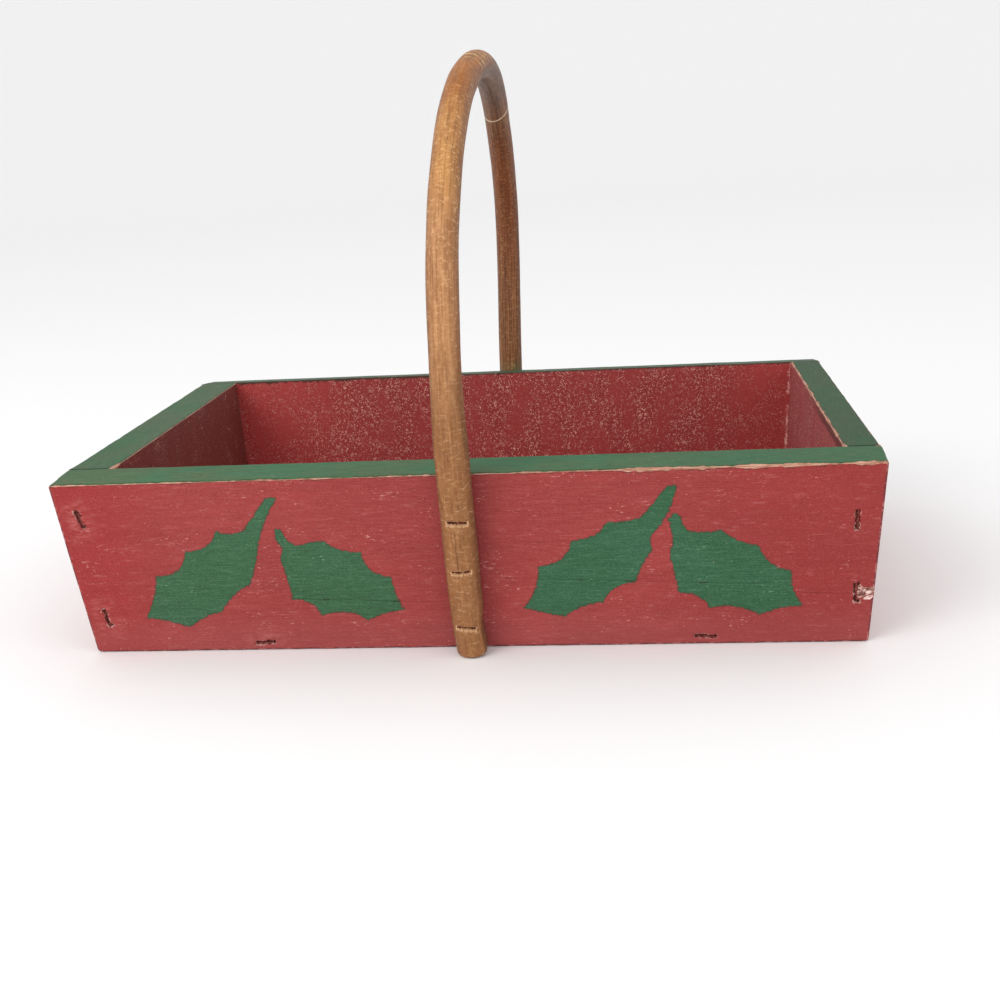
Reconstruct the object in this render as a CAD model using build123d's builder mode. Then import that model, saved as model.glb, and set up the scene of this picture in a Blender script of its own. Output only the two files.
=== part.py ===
"""A painted wooden trug: an open box on flat ground, carried by a bent cane handle.

Its four boards all lean outwards, so the box is larger at the rim than at its foot. The two long boards are
the front and the back. Their rims are left square, so they fall a little towards the outside. The end boards
stand between them, flush with their raked ends, and a thin panel closes the bottom. The handle is one rod of
cane, bent to an arch that crosses the box near its middle. Each of its legs is whittled flat on the inside
and lies against the outer face of a long board. From there the cane keeps the board's lean, spreads a little
wider and closes over the top. Wire staples, driven a little below the surface, hold all of it together.

X runs along the box, Y from front to back and Z up. The origin is on the ground, in the middle of the box.
"""

from build123d import *

import os
from dataclasses import dataclass
from math import cos, radians, sin, tan

# Boards, in millimetres, with their leans and rakes in degrees
board_height = 89.0
rim_length = 370.0
basket_width = 234.0
side_thickness = 19.0
left_end_thickness = 21.5
right_end_thickness = 16.0
side_lean = 7.0
left_rake = 3.7
right_rake = 3.2
bottom_thickness = 8.0
panel_fit = 0.2
outline_corner_radius = 2.5
worn_edge_radius = 1.4
inner_edge_radius = 0.8

# Cane handle
handle_height = 266.7
spring_height = 135.0
foot_gap = 1.1
foot_radius = 1.5
leg_diameter = 15.7
grip_diameter = 12.9
leg_reach = 13.7
bend_height = 95.0
leg_offset = 2.0
leg_twist = 1.3
arch_lean = 4.5
flat_run_out_radius = 20.0
shoulder_turn = 77.0
taper_section_shares = (0.2, 0.4, 0.6, 0.8, 1.0)
cut_overrun = 20.0

# Staples
wire_width = 1.3
wire_thickness = 1.1
crown_length = 9.0
crown_bend_radius = 0.9
chisel_length = 2.0
slot_play = 0.3
leg_play = 0.05
board_sink = 1.0
cane_sink = 1.7
leg_grip = 13.0

# Where the staples sit, as shares of the height, thickness or length of the board that they hold
left_staple_height_shares = (0.78, 0.206)
left_staple_thickness_shares = (0.37, 0.37)
right_staple_height_shares = (0.674, 0.278)
right_staple_thickness_shares = (0.64, 0.474)
bottom_staple_length_shares = (-0.263, 0.292)
handle_staple_height_shares = (0.75, 0.484, 0.171)

# How far the crown of each staple is turned, in degrees: from upright at the ends, from level elsewhere
left_staple_turns = (15.0, 8.0)
right_staple_turns = (0.0, 1.0)
bottom_staple_turns = (3.0, -2.0)
handle_staple_turns = (-3.0, 4.0, -5.0)

# Sizes that follow from the ones above
half_rim = rim_length / 2
half_width = basket_width / 2
lean = radians(side_lean)
side_level_thickness = side_thickness / cos(lean)
outer_rim_height = board_height - side_thickness * sin(lean)
apex_height = handle_height - grip_diameter / 2
long_sides = ((-1, "front"), (1, "back"))
short_sides = ((-1, "left"), (1, "right"))


def smooth_step(low, high, value):
    """Zero up to low and one from high, with a smooth rise between them."""
    share = min(max((value - low) / (high - low), 0), 1)
    return share * share * (3 - 2 * share)


def outer_face_y(height):
    """How far the outer face of a long board is from the middle of the box at a height."""
    return half_width - tan(lean) * (outer_rim_height - height)


def inner_face_y(height):
    """How far the inner face of a long board is from the middle of the box at a height."""
    return outer_face_y(height) - side_level_thickness


def end_face_x(side, height):
    """Where the outer face of an end board is at a height. Side is -1 on the left and 1 on the right."""
    rake = left_rake if side < 0 else right_rake
    return side * (half_rim - tan(radians(rake)) * (board_height - height))


def end_level_thickness(side):
    """The thickness of an end board, measured level instead of square to its raked face."""
    if side < 0:
        return left_end_thickness / cos(radians(left_rake))
    return right_end_thickness / cos(radians(right_rake))


def cane_diameter(height):
    """The thickness of the cane, stout on the boards and slimmer where the arch starts."""
    return leg_diameter + (grip_diameter - leg_diameter) * smooth_step(bend_height, spring_height, height)


def cane_centre(face, height):
    """The middle of a leg, -1 at the front and 1 at the back. It lies along the leaning board."""
    level_reach = (leg_reach - cane_diameter(height) / 2) / cos(lean)
    return Vector(leg_offset + leg_twist * face, face * (outer_face_y(height) + level_reach), height)


@dataclass
class StaplePlace:
    """One staple. Its plane lies on the wood, with x along the crown and z out of the wood."""

    name: str
    plane: Plane
    sink: float
    leg_length: float


def staple_plane(face, x, height, reach, turn, tilt):
    """A plane at a reach from the front, face -1, or the back, face 1.

    Its x is turned by some degrees from level. With the board's lean as its tilt, it lies on the board.
    """
    out_of_wood = Vector(0, face * cos(tilt), -sin(tilt))
    up_the_wood = Vector(0, face * sin(tilt), cos(tilt))
    crown_direction = Vector(cos(radians(turn)), 0, 0) + up_the_wood * sin(radians(turn))
    y = face * (outer_face_y(height) + reach / cos(lean))
    return Plane(origin=(x, y, height), x_dir=crown_direction, z_dir=out_of_wood)


def end_staple_places(face, face_name):
    """Two staples at each end of a long board, driven into the end board behind it."""
    left = zip(left_staple_height_shares, left_staple_thickness_shares, left_staple_turns)
    right = zip(right_staple_height_shares, right_staple_thickness_shares, right_staple_turns)
    places = []
    for side, side_name, rows in ((-1, "left", left), (1, "right", right)):
        for level, (height_share, thickness_share, turn) in zip(("upper", "lower"), rows):
            height = height_share * board_height
            x = end_face_x(side, height) - side * thickness_share * end_level_thickness(side)
            plane = staple_plane(face, x, height, 0, 90 + turn, lean)
            name = f"end_staple_{face_name}_{side_name}_{level}"
            places.append(StaplePlace(name, plane, board_sink, side_thickness + leg_grip))
    return places


def bottom_staple_places(face, face_name):
    """Two staples low on a long board. They are driven level, so that they stay inside the bottom panel."""
    rows = zip(("left", "right"), bottom_staple_length_shares, bottom_staple_turns)
    places = []
    for side_name, length_share, turn in rows:
        plane = staple_plane(face, length_share * rim_length, bottom_thickness / 2, 0, turn, 0)
        name = f"bottom_staple_{face_name}_{side_name}"
        places.append(StaplePlace(name, plane, board_sink, side_level_thickness + leg_grip))
    return places


def handle_staple_places(face, face_name):
    """Three staples across a leg of the handle, driven through it into the long board."""
    places = []
    levels = ("upper", "middle", "lower")
    for level, height_share, turn in zip(levels, handle_staple_height_shares, handle_staple_turns):
        height = height_share * board_height
        plane = staple_plane(face, cane_centre(face, height).X, height, leg_reach, turn, lean)
        name = f"handle_staple_{face_name}_{level}"
        places.append(StaplePlace(name, plane, cane_sink, leg_reach - cane_sink + leg_grip))
    return places


def make_staple(place):
    """Flat wire bent to a crown with rounded corners and two legs, whose ends are cut to chisel points."""
    half = crown_length / 2
    inner_half = half - wire_thickness
    crown_top = place.sink
    crown_foot = place.sink + wire_thickness
    tip = place.sink + place.leg_length
    side_view = Plane(origin=place.plane.origin, x_dir=place.plane.x_dir, z_dir=place.plane.y_dir)
    with BuildPart() as staple:
        with BuildSketch(side_view):
            with BuildLine():
                Polyline(
                    (-half, crown_top),
                    (half, crown_top),
                    (half, tip - chisel_length),
                    (inner_half, tip),
                    (inner_half, crown_foot),
                    (-inner_half, crown_foot),
                    (-inner_half, tip),
                    (-half, tip - chisel_length),
                    close=True,
                )
            make_face()
            fillet(vertices().group_by(Axis.Y)[0], radius=crown_bend_radius)
        extrude(amount=wire_width / 2, both=True)
    staple.part.label = place.name
    return staple.part


def make_staple_pocket(place):
    """The slot that a crown sinks into, and the two holes of its legs, a little wider than the wire."""
    slot_depth = place.sink + wire_thickness
    hole_depth = place.sink + place.leg_length + leg_play
    with BuildPart() as pocket:
        with BuildSketch(place.plane.offset(-slot_depth)):
            Rectangle(crown_length + 2 * slot_play, wire_width + 2 * slot_play)
        extrude(amount=slot_depth + cut_overrun)
        with BuildSketch(place.plane.offset(-hole_depth)):
            with GridLocations(crown_length - wire_thickness, 0, 2, 1):
                Rectangle(wire_thickness + 2 * leg_play, wire_width + 2 * leg_play)
        extrude(amount=hole_depth)
    return pocket.part


end_places = [place for side in long_sides for place in end_staple_places(*side)]
bottom_places = [place for side in long_sides for place in bottom_staple_places(*side)]
handle_places = [place for side in long_sides for place in handle_staple_places(*side)]
staple_places = end_places + bottom_places + handle_places
pockets = {place.name: make_staple_pocket(place) for place in staple_places}


def pockets_of(word):
    """The pockets of the staples whose names hold a word."""
    return [pocket for name, pocket in pockets.items() if word in name]


# Front and back board, leaning outwards, with raked ends and worn edges
def thickness_edges(end_face):
    """The two short edges of an end face, which run through the thickness of its board."""
    return end_face.edges().filter_by(GeomType.LINE).sort_by(SortBy.LENGTH)[:2]


def make_long_board(face, face_name):
    """One long board. Face is -1 at the front and 1 at the back."""
    with BuildPart() as board:
        with BuildSketch(Plane.YZ):
            with BuildLine():
                Polyline(
                    (face * inner_face_y(0), 0),
                    (face * outer_face_y(0), 0),
                    (face * outer_face_y(outer_rim_height), outer_rim_height),
                    (face * inner_face_y(board_height), board_height),
                    close=True,
                )
            make_face()
        extrude(amount=half_rim, both=True)
        with BuildSketch(Plane.XZ):
            with BuildLine():
                Polyline(
                    (end_face_x(-1, 0), 0),
                    (end_face_x(1, 0), 0),
                    (end_face_x(1, board_height), board_height),
                    (end_face_x(-1, board_height), board_height),
                    close=True,
                )
            make_face()
        extrude(amount=basket_width, both=True, mode=Mode.INTERSECT)
        inner_face = board.faces().sort_by(Axis.Y)[::face][0]
        fillet(inner_face.edges().sort_by(Axis.Z)[-1], radius=inner_edge_radius)
        faces_along = board.faces().sort_by(Axis.X)
        outline_corners = thickness_edges(faces_along[0]) + thickness_edges(faces_along[-1])
        fillet(outline_corners, radius=outline_corner_radius)
        outer_face = board.faces().sort_by(Axis.Y)[::face][-1]
        fillet(outer_face.edges(), radius=worn_edge_radius)
        for pocket in pockets_of(f"_{face_name}_"):
            add(pocket, mode=Mode.SUBTRACT)
    board.part.label = f"{face_name}_board"
    return board.part


# The room between the long boards, wider at the rim, which shapes what stands between them
with BuildPart() as space_between_sides:
    with BuildSketch(Plane.YZ):
        with BuildLine():
            Polyline(
                (-inner_face_y(0), 0),
                (inner_face_y(0), 0),
                (inner_face_y(board_height), board_height),
                (-inner_face_y(board_height), board_height),
                close=True,
            )
        make_face()
    extrude(amount=half_rim, both=True)


# End boards, leaning outwards between the long boards
def make_end_board(side, side_name):
    """One end board, whose outer face is flush with the raked ends of the long boards."""
    level_thickness = end_level_thickness(side)
    foot_x = end_face_x(side, 0)
    rim_x = end_face_x(side, board_height)
    with BuildPart() as board:
        with BuildSketch(Plane.XZ):
            with BuildLine():
                Polyline(
                    (foot_x, 0),
                    (rim_x, board_height),
                    (rim_x - side * level_thickness, board_height),
                    (foot_x - side * level_thickness, 0),
                    close=True,
                )
            make_face()
            inner_rim_corner, outer_rim_corner = vertices().group_by(Axis.Y)[-1].sort_by(Axis.X)[::side]
            outer_foot_corner = vertices().group_by(Axis.Y)[0].sort_by(Axis.X)[::side][-1]
            fillet([outer_foot_corner, outer_rim_corner], radius=outline_corner_radius)
            fillet(inner_rim_corner, radius=worn_edge_radius)
        extrude(amount=half_width, both=True)
        add(space_between_sides.part, mode=Mode.INTERSECT)
        for pocket in pockets_of(f"_{side_name}_"):
            add(pocket, mode=Mode.SUBTRACT)
    board.part.label = f"{side_name}_end_board"
    return board.part


# Bottom panel, let in between the four boards and flush with their feet
left_foot_x = end_face_x(-1, 0) + end_level_thickness(-1) + panel_fit
right_foot_x = end_face_x(1, 0) - end_level_thickness(1) - panel_fit
left_top_x = end_face_x(-1, bottom_thickness) + end_level_thickness(-1) + panel_fit
right_top_x = end_face_x(1, bottom_thickness) - end_level_thickness(1) - panel_fit
with BuildPart() as bottom_panel:
    with BuildSketch(Plane.XZ):
        with BuildLine():
            Polyline(
                (left_foot_x, 0),
                (right_foot_x, 0),
                (right_top_x, bottom_thickness),
                (left_top_x, bottom_thickness),
                close=True,
            )
        make_face()
    extrude(amount=half_width, both=True)
    add(space_between_sides.part, mode=Mode.INTERSECT)
    for pocket in pockets_of("bottom_staple"):
        add(pocket, mode=Mode.SUBTRACT)
bottom_panel.part.label = "bottom_panel"


# Cane handle: each leg is a straight stout stretch and a taper, and between them the cane bends in three arcs
front_spring = cane_centre(-1, spring_height)
back_spring = cane_centre(1, spring_height)
span = back_spring - front_spring
lean_direction = Vector(arch_lean, 0, apex_height - spring_height)
arch_plane = Plane(origin=(front_spring + back_spring) / 2, x_dir=span, z_dir=span.cross(lean_direction))

# The arcs start on the lean of the legs. The two radii follow from the span and the rise of the arch.
half_span = span.length / 2
arch_rise = lean_direction.length
crown_half_turn = radians(90 + side_lean - shoulder_turn)
spread = (1 + sin(lean)) / cos(lean)
closing = sin(crown_half_turn) * spread + cos(crown_half_turn) - 1
radius_difference = (half_span * spread - arch_rise) / closing
shoulder_radius = (half_span - radius_difference * sin(crown_half_turn)) / cos(lean)
crown_radius = shoulder_radius + radius_difference
crown_turn = 2 * (90 + side_lean - shoulder_turn)

flat_top = board_height + flat_run_out_radius
taper_heights = [bend_height + share * (spring_height - bend_height) for share in taper_section_shares]

with BuildPart() as handle:
    for face in (-1, 1):
        foot = cane_centre(face, foot_gap)
        rise = cane_centre(face, bend_height) - foot
        spring_direction = arch_plane.y_dir * cos(lean) + arch_plane.x_dir * face * sin(lean)
        with BuildSketch(Plane(origin=foot, z_dir=rise)):
            Circle(leg_diameter / 2)
        extrude(amount=rise.length)
        with BuildSketch(Plane(origin=foot + rise, z_dir=rise)):
            Circle(leg_diameter / 2)
        for height in taper_heights:
            with BuildSketch(Plane(origin=cane_centre(face, height), z_dir=spring_direction)):
                Circle(cane_diameter(height) / 2)
        loft(ruled=True)
    with BuildLine(arch_plane) as bend:
        front_shoulder = JernArc((-half_span, 0), (-sin(lean), cos(lean)), shoulder_radius, -shoulder_turn)
        crown = JernArc(front_shoulder @ 1, front_shoulder % 1, crown_radius, -crown_turn)
        JernArc(crown @ 1, crown % 1, shoulder_radius, -shoulder_turn)
    with BuildSketch(Plane(origin=front_spring, z_dir=bend.line % 0)):
        Circle(grip_diameter / 2)
    sweep()
    feet = handle.faces().sort_by(Axis.Z)[:2].edges()
    fillet(feet, radius=foot_radius)
    with BuildSketch(Plane.YZ):
        with BuildLine():
            Polyline(
                (-outer_face_y(-cut_overrun), -cut_overrun),
                (outer_face_y(-cut_overrun), -cut_overrun),
                (outer_face_y(flat_top), flat_top),
                (-outer_face_y(flat_top), flat_top),
                close=True,
            )
        make_face()
        fillet(vertices().group_by(Axis.Y)[-1], radius=flat_run_out_radius)
    extrude(amount=leg_offset + cut_overrun, both=True, mode=Mode.SUBTRACT)
    for pocket in pockets_of("handle_staple"):
        add(pocket, mode=Mode.SUBTRACT)
handle.part.label = "handle"

# The whole trug, one file for each piece
boards = [make_long_board(*side) for side in long_sides]
ends = [make_end_board(*side) for side in short_sides]
staples = [make_staple(place) for place in staple_places]
os.makedirs("parts", exist_ok=True)
pieces = boards + ends + [bottom_panel.part, handle.part] + staples
for piece in pieces:
    export_step(piece, f"parts/{piece.label}.step")
print(f"{len(pieces)} pieces, and the handle holds {handle.part.volume:.0f} cubic millimetres of cane")
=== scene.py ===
# %% [markdown]
# # A painted garden trug
#
# The object is an open wooden box whose four boards lean outwards, with one bent cane handle. It is painted red, its
# rim is green, and two pairs of holly leaves are stencilled on its side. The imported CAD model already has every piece
# at its real size. This script gives the pieces the worn surfaces of the real ones: rounded arrises, staple pits,
# splits in the grain, paint that has rubbed through, and the fibres of the cane. Everything is worked out in
# millimetres, because a maker thinks in them, and turned into Blender's metres when a mesh is made.

import math
from types import SimpleNamespace

import bmesh
import bpy
import numpy as np
from mathutils import Matrix, Vector


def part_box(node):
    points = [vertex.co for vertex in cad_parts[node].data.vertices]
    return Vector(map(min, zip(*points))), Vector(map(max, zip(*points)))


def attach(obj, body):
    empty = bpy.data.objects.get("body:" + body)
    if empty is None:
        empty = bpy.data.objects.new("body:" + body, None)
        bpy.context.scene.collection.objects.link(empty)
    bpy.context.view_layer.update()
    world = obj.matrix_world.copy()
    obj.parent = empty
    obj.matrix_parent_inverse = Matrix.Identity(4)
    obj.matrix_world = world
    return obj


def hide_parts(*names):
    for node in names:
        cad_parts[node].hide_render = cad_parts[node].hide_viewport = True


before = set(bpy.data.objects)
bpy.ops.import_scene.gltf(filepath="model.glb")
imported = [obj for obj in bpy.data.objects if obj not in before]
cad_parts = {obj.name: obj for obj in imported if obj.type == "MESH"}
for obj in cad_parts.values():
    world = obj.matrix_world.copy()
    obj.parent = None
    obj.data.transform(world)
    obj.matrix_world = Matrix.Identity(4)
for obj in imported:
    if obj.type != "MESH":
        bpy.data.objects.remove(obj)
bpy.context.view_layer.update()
MM = 0.001

# %% [markdown]
# ## Sizes of the box
#
# The height of the rim and the size of the bottom panel are read from the CAD nodes. The rounded corners make the boxes
# of the long boards a little too short, so their sizes and leans are named here as they are in the CAD source. A long
# board is described from its outer face. The face leans outwards, so how far it is from the middle of the box
# depends on the height. The rim is cut square to the board, so its outer arris is lower than its inner one.

# %% Name the sizes of the box


def box_in_mm(node):
    """The lowest and highest corners of a CAD node, in millimetres."""
    return [np.array(corner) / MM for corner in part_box(node)]


base, rim_height = (float(corner[2]) for corner in box_in_mm("left_end_board"))
rim_left, rim_right, basket_width = -185.0, 185.0, 234.0
side_thickness, left_thickness, right_thickness = 19.0, 21.5, 16.0
lean, left_rake, right_rake = (math.radians(angle) for angle in (7.0, 3.7, 3.2))
outer_rim_height = rim_height - side_thickness * math.sin(lean)


def face_reach(height):
    """How far the outer face of a long board is from the middle of the box: half the width of the rim, less the
    tangent of the lean times the depth below the rim."""
    return basket_width / 2 - math.tan(lean) * (outer_rim_height - height)


def inner_reach(height):
    """The same for the inner face, which is nearer by the thickness of the board, measured level."""
    return face_reach(height) - side_thickness / math.cos(lean)


print(f"The rim is {rim_right - rim_left:.0f} mm long and {rim_height:.1f} mm high,",
      f"and its outer arris {outer_rim_height:.1f} mm")

# %% [markdown]
# ## The camera
#
# The photograph was taken from a little to the right of the middle, looking down on the rim, with the camera tilted
# slightly. The camera is therefore placed by four things that a photographer would understand: where it stands, how
# far it turns, how far it dips, and how far it rolls. They also give the line of sight through any pixel, and where
# that line meets a board tells where a mark in the photograph lies on the real thing.

# %% Place the camera
photo_size = 1000
focal_pixels = 1287.98
camera_place = np.array((81.83, -655.02, 235.25))
camera_turn, camera_dip, camera_roll = (math.radians(angle) for angle in (6.655, 16.552, -3.433))

sight = np.array((-math.sin(camera_turn) * math.cos(camera_dip), math.cos(camera_turn) * math.cos(camera_dip),
                  -math.sin(camera_dip)))
level = np.array((math.cos(camera_turn), math.sin(camera_turn), 0.0))
upright = np.cross(level, sight)
camera_right = level * math.cos(camera_roll) + upright * math.sin(camera_roll)
camera_up = upright * math.cos(camera_roll) - level * math.sin(camera_roll)

lens = bpy.data.cameras.new("photo_camera")
lens.sensor_fit, lens.sensor_width = "HORIZONTAL", 36.0
lens.lens = focal_pixels / photo_size * lens.sensor_width
camera = bpy.data.objects.new("photo_camera", lens)
camera.matrix_world = Matrix([
    (*axes, place * MM) for *axes, place in zip(camera_right, camera_up, -sight, camera_place)] + [(0, 0, 0, 1)])
bpy.context.scene.collection.objects.link(camera)
bpy.context.scene.camera = camera


def on_front_face(pixels):
    """The X and Z where the lines of sight through some pixels meet the leaning front face: a point runs along each
    line until it is no longer outside the face's plane."""
    aside, down = (np.asarray(pixels, float) - photo_size / 2).T / focal_pixels
    lines = sight + aside[:, None] * camera_right - down[:, None] * camera_up
    outwards = np.array((0.0, -math.cos(lean), -math.sin(lean)))
    reach = (np.array((0.0, -basket_width / 2, outer_rim_height)) - camera_place) @ outwards / (lines @ outwards)
    return (camera_place + reach[:, None] * lines)[:, [0, 2]]


print(f"The camera stands {np.linalg.norm(camera_place):.0f} mm away, with a {lens.lens:.1f} mm lens")

# %% [markdown]
# ## The floor and the light
#
# The trug stands on a plain pale floor, which curves up far behind it so that no horizon shows. The floor is a surface
# of revolution: one profile, a flat stretch and then a rising curve, is carried round the upright axis. One wide soft
# light hangs at the front left, as a window would, a weaker one fills in from the right, and a pale sky lights the
# rest, so the inside of the left end stays in shade as it does in the photograph. The colours are shown as they are,
# without a film look, because the paint's colours are matched.

# %% Make the floor and the lights
bpy.context.scene.view_settings.view_transform = "Standard"


def soft_light(name, place, power, size=0.9, aim=(0.0, 0.0, 0.05)):
    """A square light at a place, turned so that its face looks at the aim, all in metres."""
    light = bpy.data.lights.new(name, "AREA")
    light.size, light.energy = size, power
    holder = bpy.data.objects.new(name, light)
    holder.location = place
    holder.rotation_euler = (Vector(aim) - Vector(place)).to_track_quat("-Z", "Y").to_euler()
    bpy.context.scene.collection.objects.link(holder)


soft_light("window_light", (-0.95, -1.15, 1.05), 11.0)
soft_light("fill_light", (1.2, -0.8, 0.7), 2.0)

sky = bpy.data.worlds.new("pale_sky")
sky.use_nodes = True
sky.node_tree.nodes["Background"].inputs["Color"].default_value = (1.0, 1.0, 1.0, 1.0)
sky.node_tree.nodes["Background"].inputs["Strength"].default_value = 0.92
bpy.context.scene.world = sky
floor_around = 72


def floor_surface(flat_radius=3.0, curve_radius=1.6, rings=16, around=floor_around):
    """The corners and faces of the floor, in metres. Round the axis stands a profile that is flat up to one radius,
    then rises along a circle: the distance out grows by the sine of its turn, and the height by one less the cosine."""
    turn = np.linspace(0, math.radians(80), rings)
    out = np.concatenate([[0.001], flat_radius + curve_radius * np.sin(turn)])[:, None]
    up = np.concatenate([[0.0], curve_radius * (1 - np.cos(turn))])[:, None]
    angle = np.linspace(0, 2 * math.pi, around, endpoint=False)
    corners = np.stack([out * np.cos(angle), out * np.sin(angle), up + 0 * angle], -1).reshape(-1, 3)
    number = np.arange(len(corners)).reshape(-1, around)
    beside = np.roll(number, -1, axis=1)
    return corners, np.stack([number[:-1], number[1:], beside[1:], beside[:-1]], -1).reshape(-1, 4)


floor_mesh = bpy.data.meshes.new("floor")
floor_corners, floor_faces = floor_surface()
floor_mesh.from_pydata(floor_corners, [], floor_faces.tolist() + [list(range(floor_around))])
floor_mesh.shade_smooth()
floor = bpy.data.objects.new("floor", floor_mesh)
bpy.context.scene.collection.objects.link(floor)
floor_paint = bpy.data.materials.new("pale_floor")
floor_paint.use_nodes = True
floor_paint.node_tree.nodes["Principled BSDF"].inputs["Base Color"].default_value = (0.94, 0.94, 0.94, 1.0)
floor_paint.node_tree.nodes["Principled BSDF"].inputs["Roughness"].default_value = 0.9
floor_mesh.materials.append(floor_paint)
print("Two soft lights, a pale sky and a floor are in place")

# %% [markdown]
# ## Tools for uneven surfaces
#
# Nothing on an old trug is quite straight, so most shapes below are a clean shape plus a little unevenness. A sum of
# sine waves in random directions is smooth, costs nothing, and gives the same result at each run, because its dice
# are seeded. A mesh should also spend its points where something happens. The function `spaced_lines` places grid
# lines closely round the staples and the arrises, and widely elsewhere.

# %% Define waves, steps and spaced lines


def waves(places, length, seed, count=12):
    """Uneven waves, mostly between -1 and 1: the sum of sine waves that run in random directions, with lengths near
    the given one and random starts, divided by the root of twice their number."""
    dice = np.random.default_rng(seed)
    places = np.atleast_2d(np.asarray(places, float).T).T
    directions = dice.normal(size=(count, places.shape[1]))
    directions /= np.linalg.norm(directions, axis=1, keepdims=True)
    turns = 2 * math.pi / (length * dice.uniform(0.55, 1.7, count))
    waving = np.sin(places @ (directions * turns[:, None]).T + dice.uniform(0, 2 * math.pi, count))
    return waving.sum(1) / math.sqrt(count / 2) / 2


def soft_step(value, low, high):
    """Rises smoothly from 0 at low to 1 at high: three times the square of the share less twice its cube."""
    share = np.clip((value - low) / (high - low), 0, 1)
    return share * share * (3 - 2 * share)


def spaced_lines(low, high, wide, places):
    """Positions from low to high. Their density is one over the wide spacing, and near each place, given as its
    middle, its reach and its own spacing, one over that. They sit at equal steps of the density's running sum."""
    along = np.linspace(low, high, 6001)
    density = np.full(along.shape, 1 / wide)
    for middle, reach, spacing in places:
        nearness = 1 - soft_step(np.abs(along - middle), 0.8 * reach, 1.3 * reach)
        density = np.maximum(density, 1 / wide + (1 / spacing - 1 / wide) * nearness)
    running = np.concatenate([[0], np.cumsum((density[1:] + density[:-1]) / 2 * np.diff(along))])
    return np.interp(np.linspace(0, running[-1], math.ceil(running[-1]) + 1), running, along)


def new_piece(name, corners, faces, marks, node):
    """Makes a mesh piece from corners in millimetres and faces with four corners each, closes its doubled corners,
    stores each mark as an attribute, hangs it under the root body's empty, and hides the CAD node that it replaces."""
    mesh = bpy.data.meshes.new(name)
    mesh.from_pydata(corners * MM, [], faces)
    for mark, values in marks.items():
        values = np.ascontiguousarray(np.broadcast_to(values, len(corners)), np.float32)
        mesh.attributes.new(mark, "FLOAT", "POINT").data.foreach_set("value", values)
    cleaner = bmesh.new()
    cleaner.from_mesh(mesh)
    bmesh.ops.remove_doubles(cleaner, verts=cleaner.verts, dist=2e-6)
    cleaner.to_mesh(mesh)
    cleaner.free()
    mesh.shade_smooth()
    piece = bpy.data.objects.new(name, mesh)
    bpy.context.scene.collection.objects.link(piece)
    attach(piece, "root")
    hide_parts(node)
    mesh.calc_loop_triangles()
    print(f"{name}: {len(mesh.vertices)} corners, {len(mesh.loop_triangles)} triangles")
    return piece


# %% [markdown]
# ## A block with worn arrises
#
# Each board is a block of wood. A block's skin is made from a lattice of lines in X, Y and Z: every lattice point on
# one of the six sides is a corner, and neighbours on a side make a face. That keeps the mesh closed, and it gives
# every side its own grid to shape. The arrises are rounded with one rule for all of them: draw each point to a
# smaller core block, then push it back out by the radius. A radius that changes from place to place gives an arris
# that is crisp here and rubbed round there.

# %% Define the block and its rounding


def block_skin(x_lines, y_lines, z_lines):
    """The corners on a block's six sides, their lattice numbers, and the faces between them, wound to look outwards."""
    shape = (len(x_lines), len(y_lines), len(z_lines))
    on_skin = np.ones(shape, bool)
    on_skin[1:-1, 1:-1, 1:-1] = False
    number = np.full(shape, -1)
    number[on_skin] = np.arange(on_skin.sum())
    steps = np.argwhere(on_skin)
    corners = np.c_[x_lines[steps[:, 0]], y_lines[steps[:, 1]], z_lines[steps[:, 2]]]

    def side(sheet, outward):
        quads = np.stack([sheet[:-1, :-1], sheet[1:, :-1], sheet[1:, 1:], sheet[:-1, 1:]], -1).reshape(-1, 4)
        return quads if outward else quads[:, ::-1]

    faces = np.concatenate([
        side(number[0], False), side(number[-1], True),
        side(number[:, 0], True), side(number[:, -1], False),
        side(number[:, :, 0], False), side(number[:, :, -1], True),
    ])
    return corners, steps, faces


def round_arrises(corners, low, high, radius):
    """Each point is drawn to a core block that is smaller by the radius on all sides, and pushed back out from the
    core's nearest point by the radius. Flat sides stay. Also gives the direction that each point was pushed in."""
    middle, half = (low + high) / 2, (high - low) / 2
    core = np.clip(corners - middle, radius[:, None] - half, half - radius[:, None])
    outward = corners - middle - core
    outward /= np.linalg.norm(outward, axis=1, keepdims=True)
    return middle + core + outward * radius[:, None], outward


# %% [markdown]
# ## The holly leaves
#
# Two pairs of leaves were stencilled in green on the red side. A stencil's outline is a row of spikes with a hollow
# between each two, so each leaf below is a list of spikes, and of the point that pulls the edge between them
# inwards. The edge is a parabola through those three. The points are pixels of the photograph, and the camera turns
# them into places on the board. The paint needs to know how far each point of the board is from the leaf's edge, so
# the outline is turned into a signed distance, positive inside.

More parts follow.
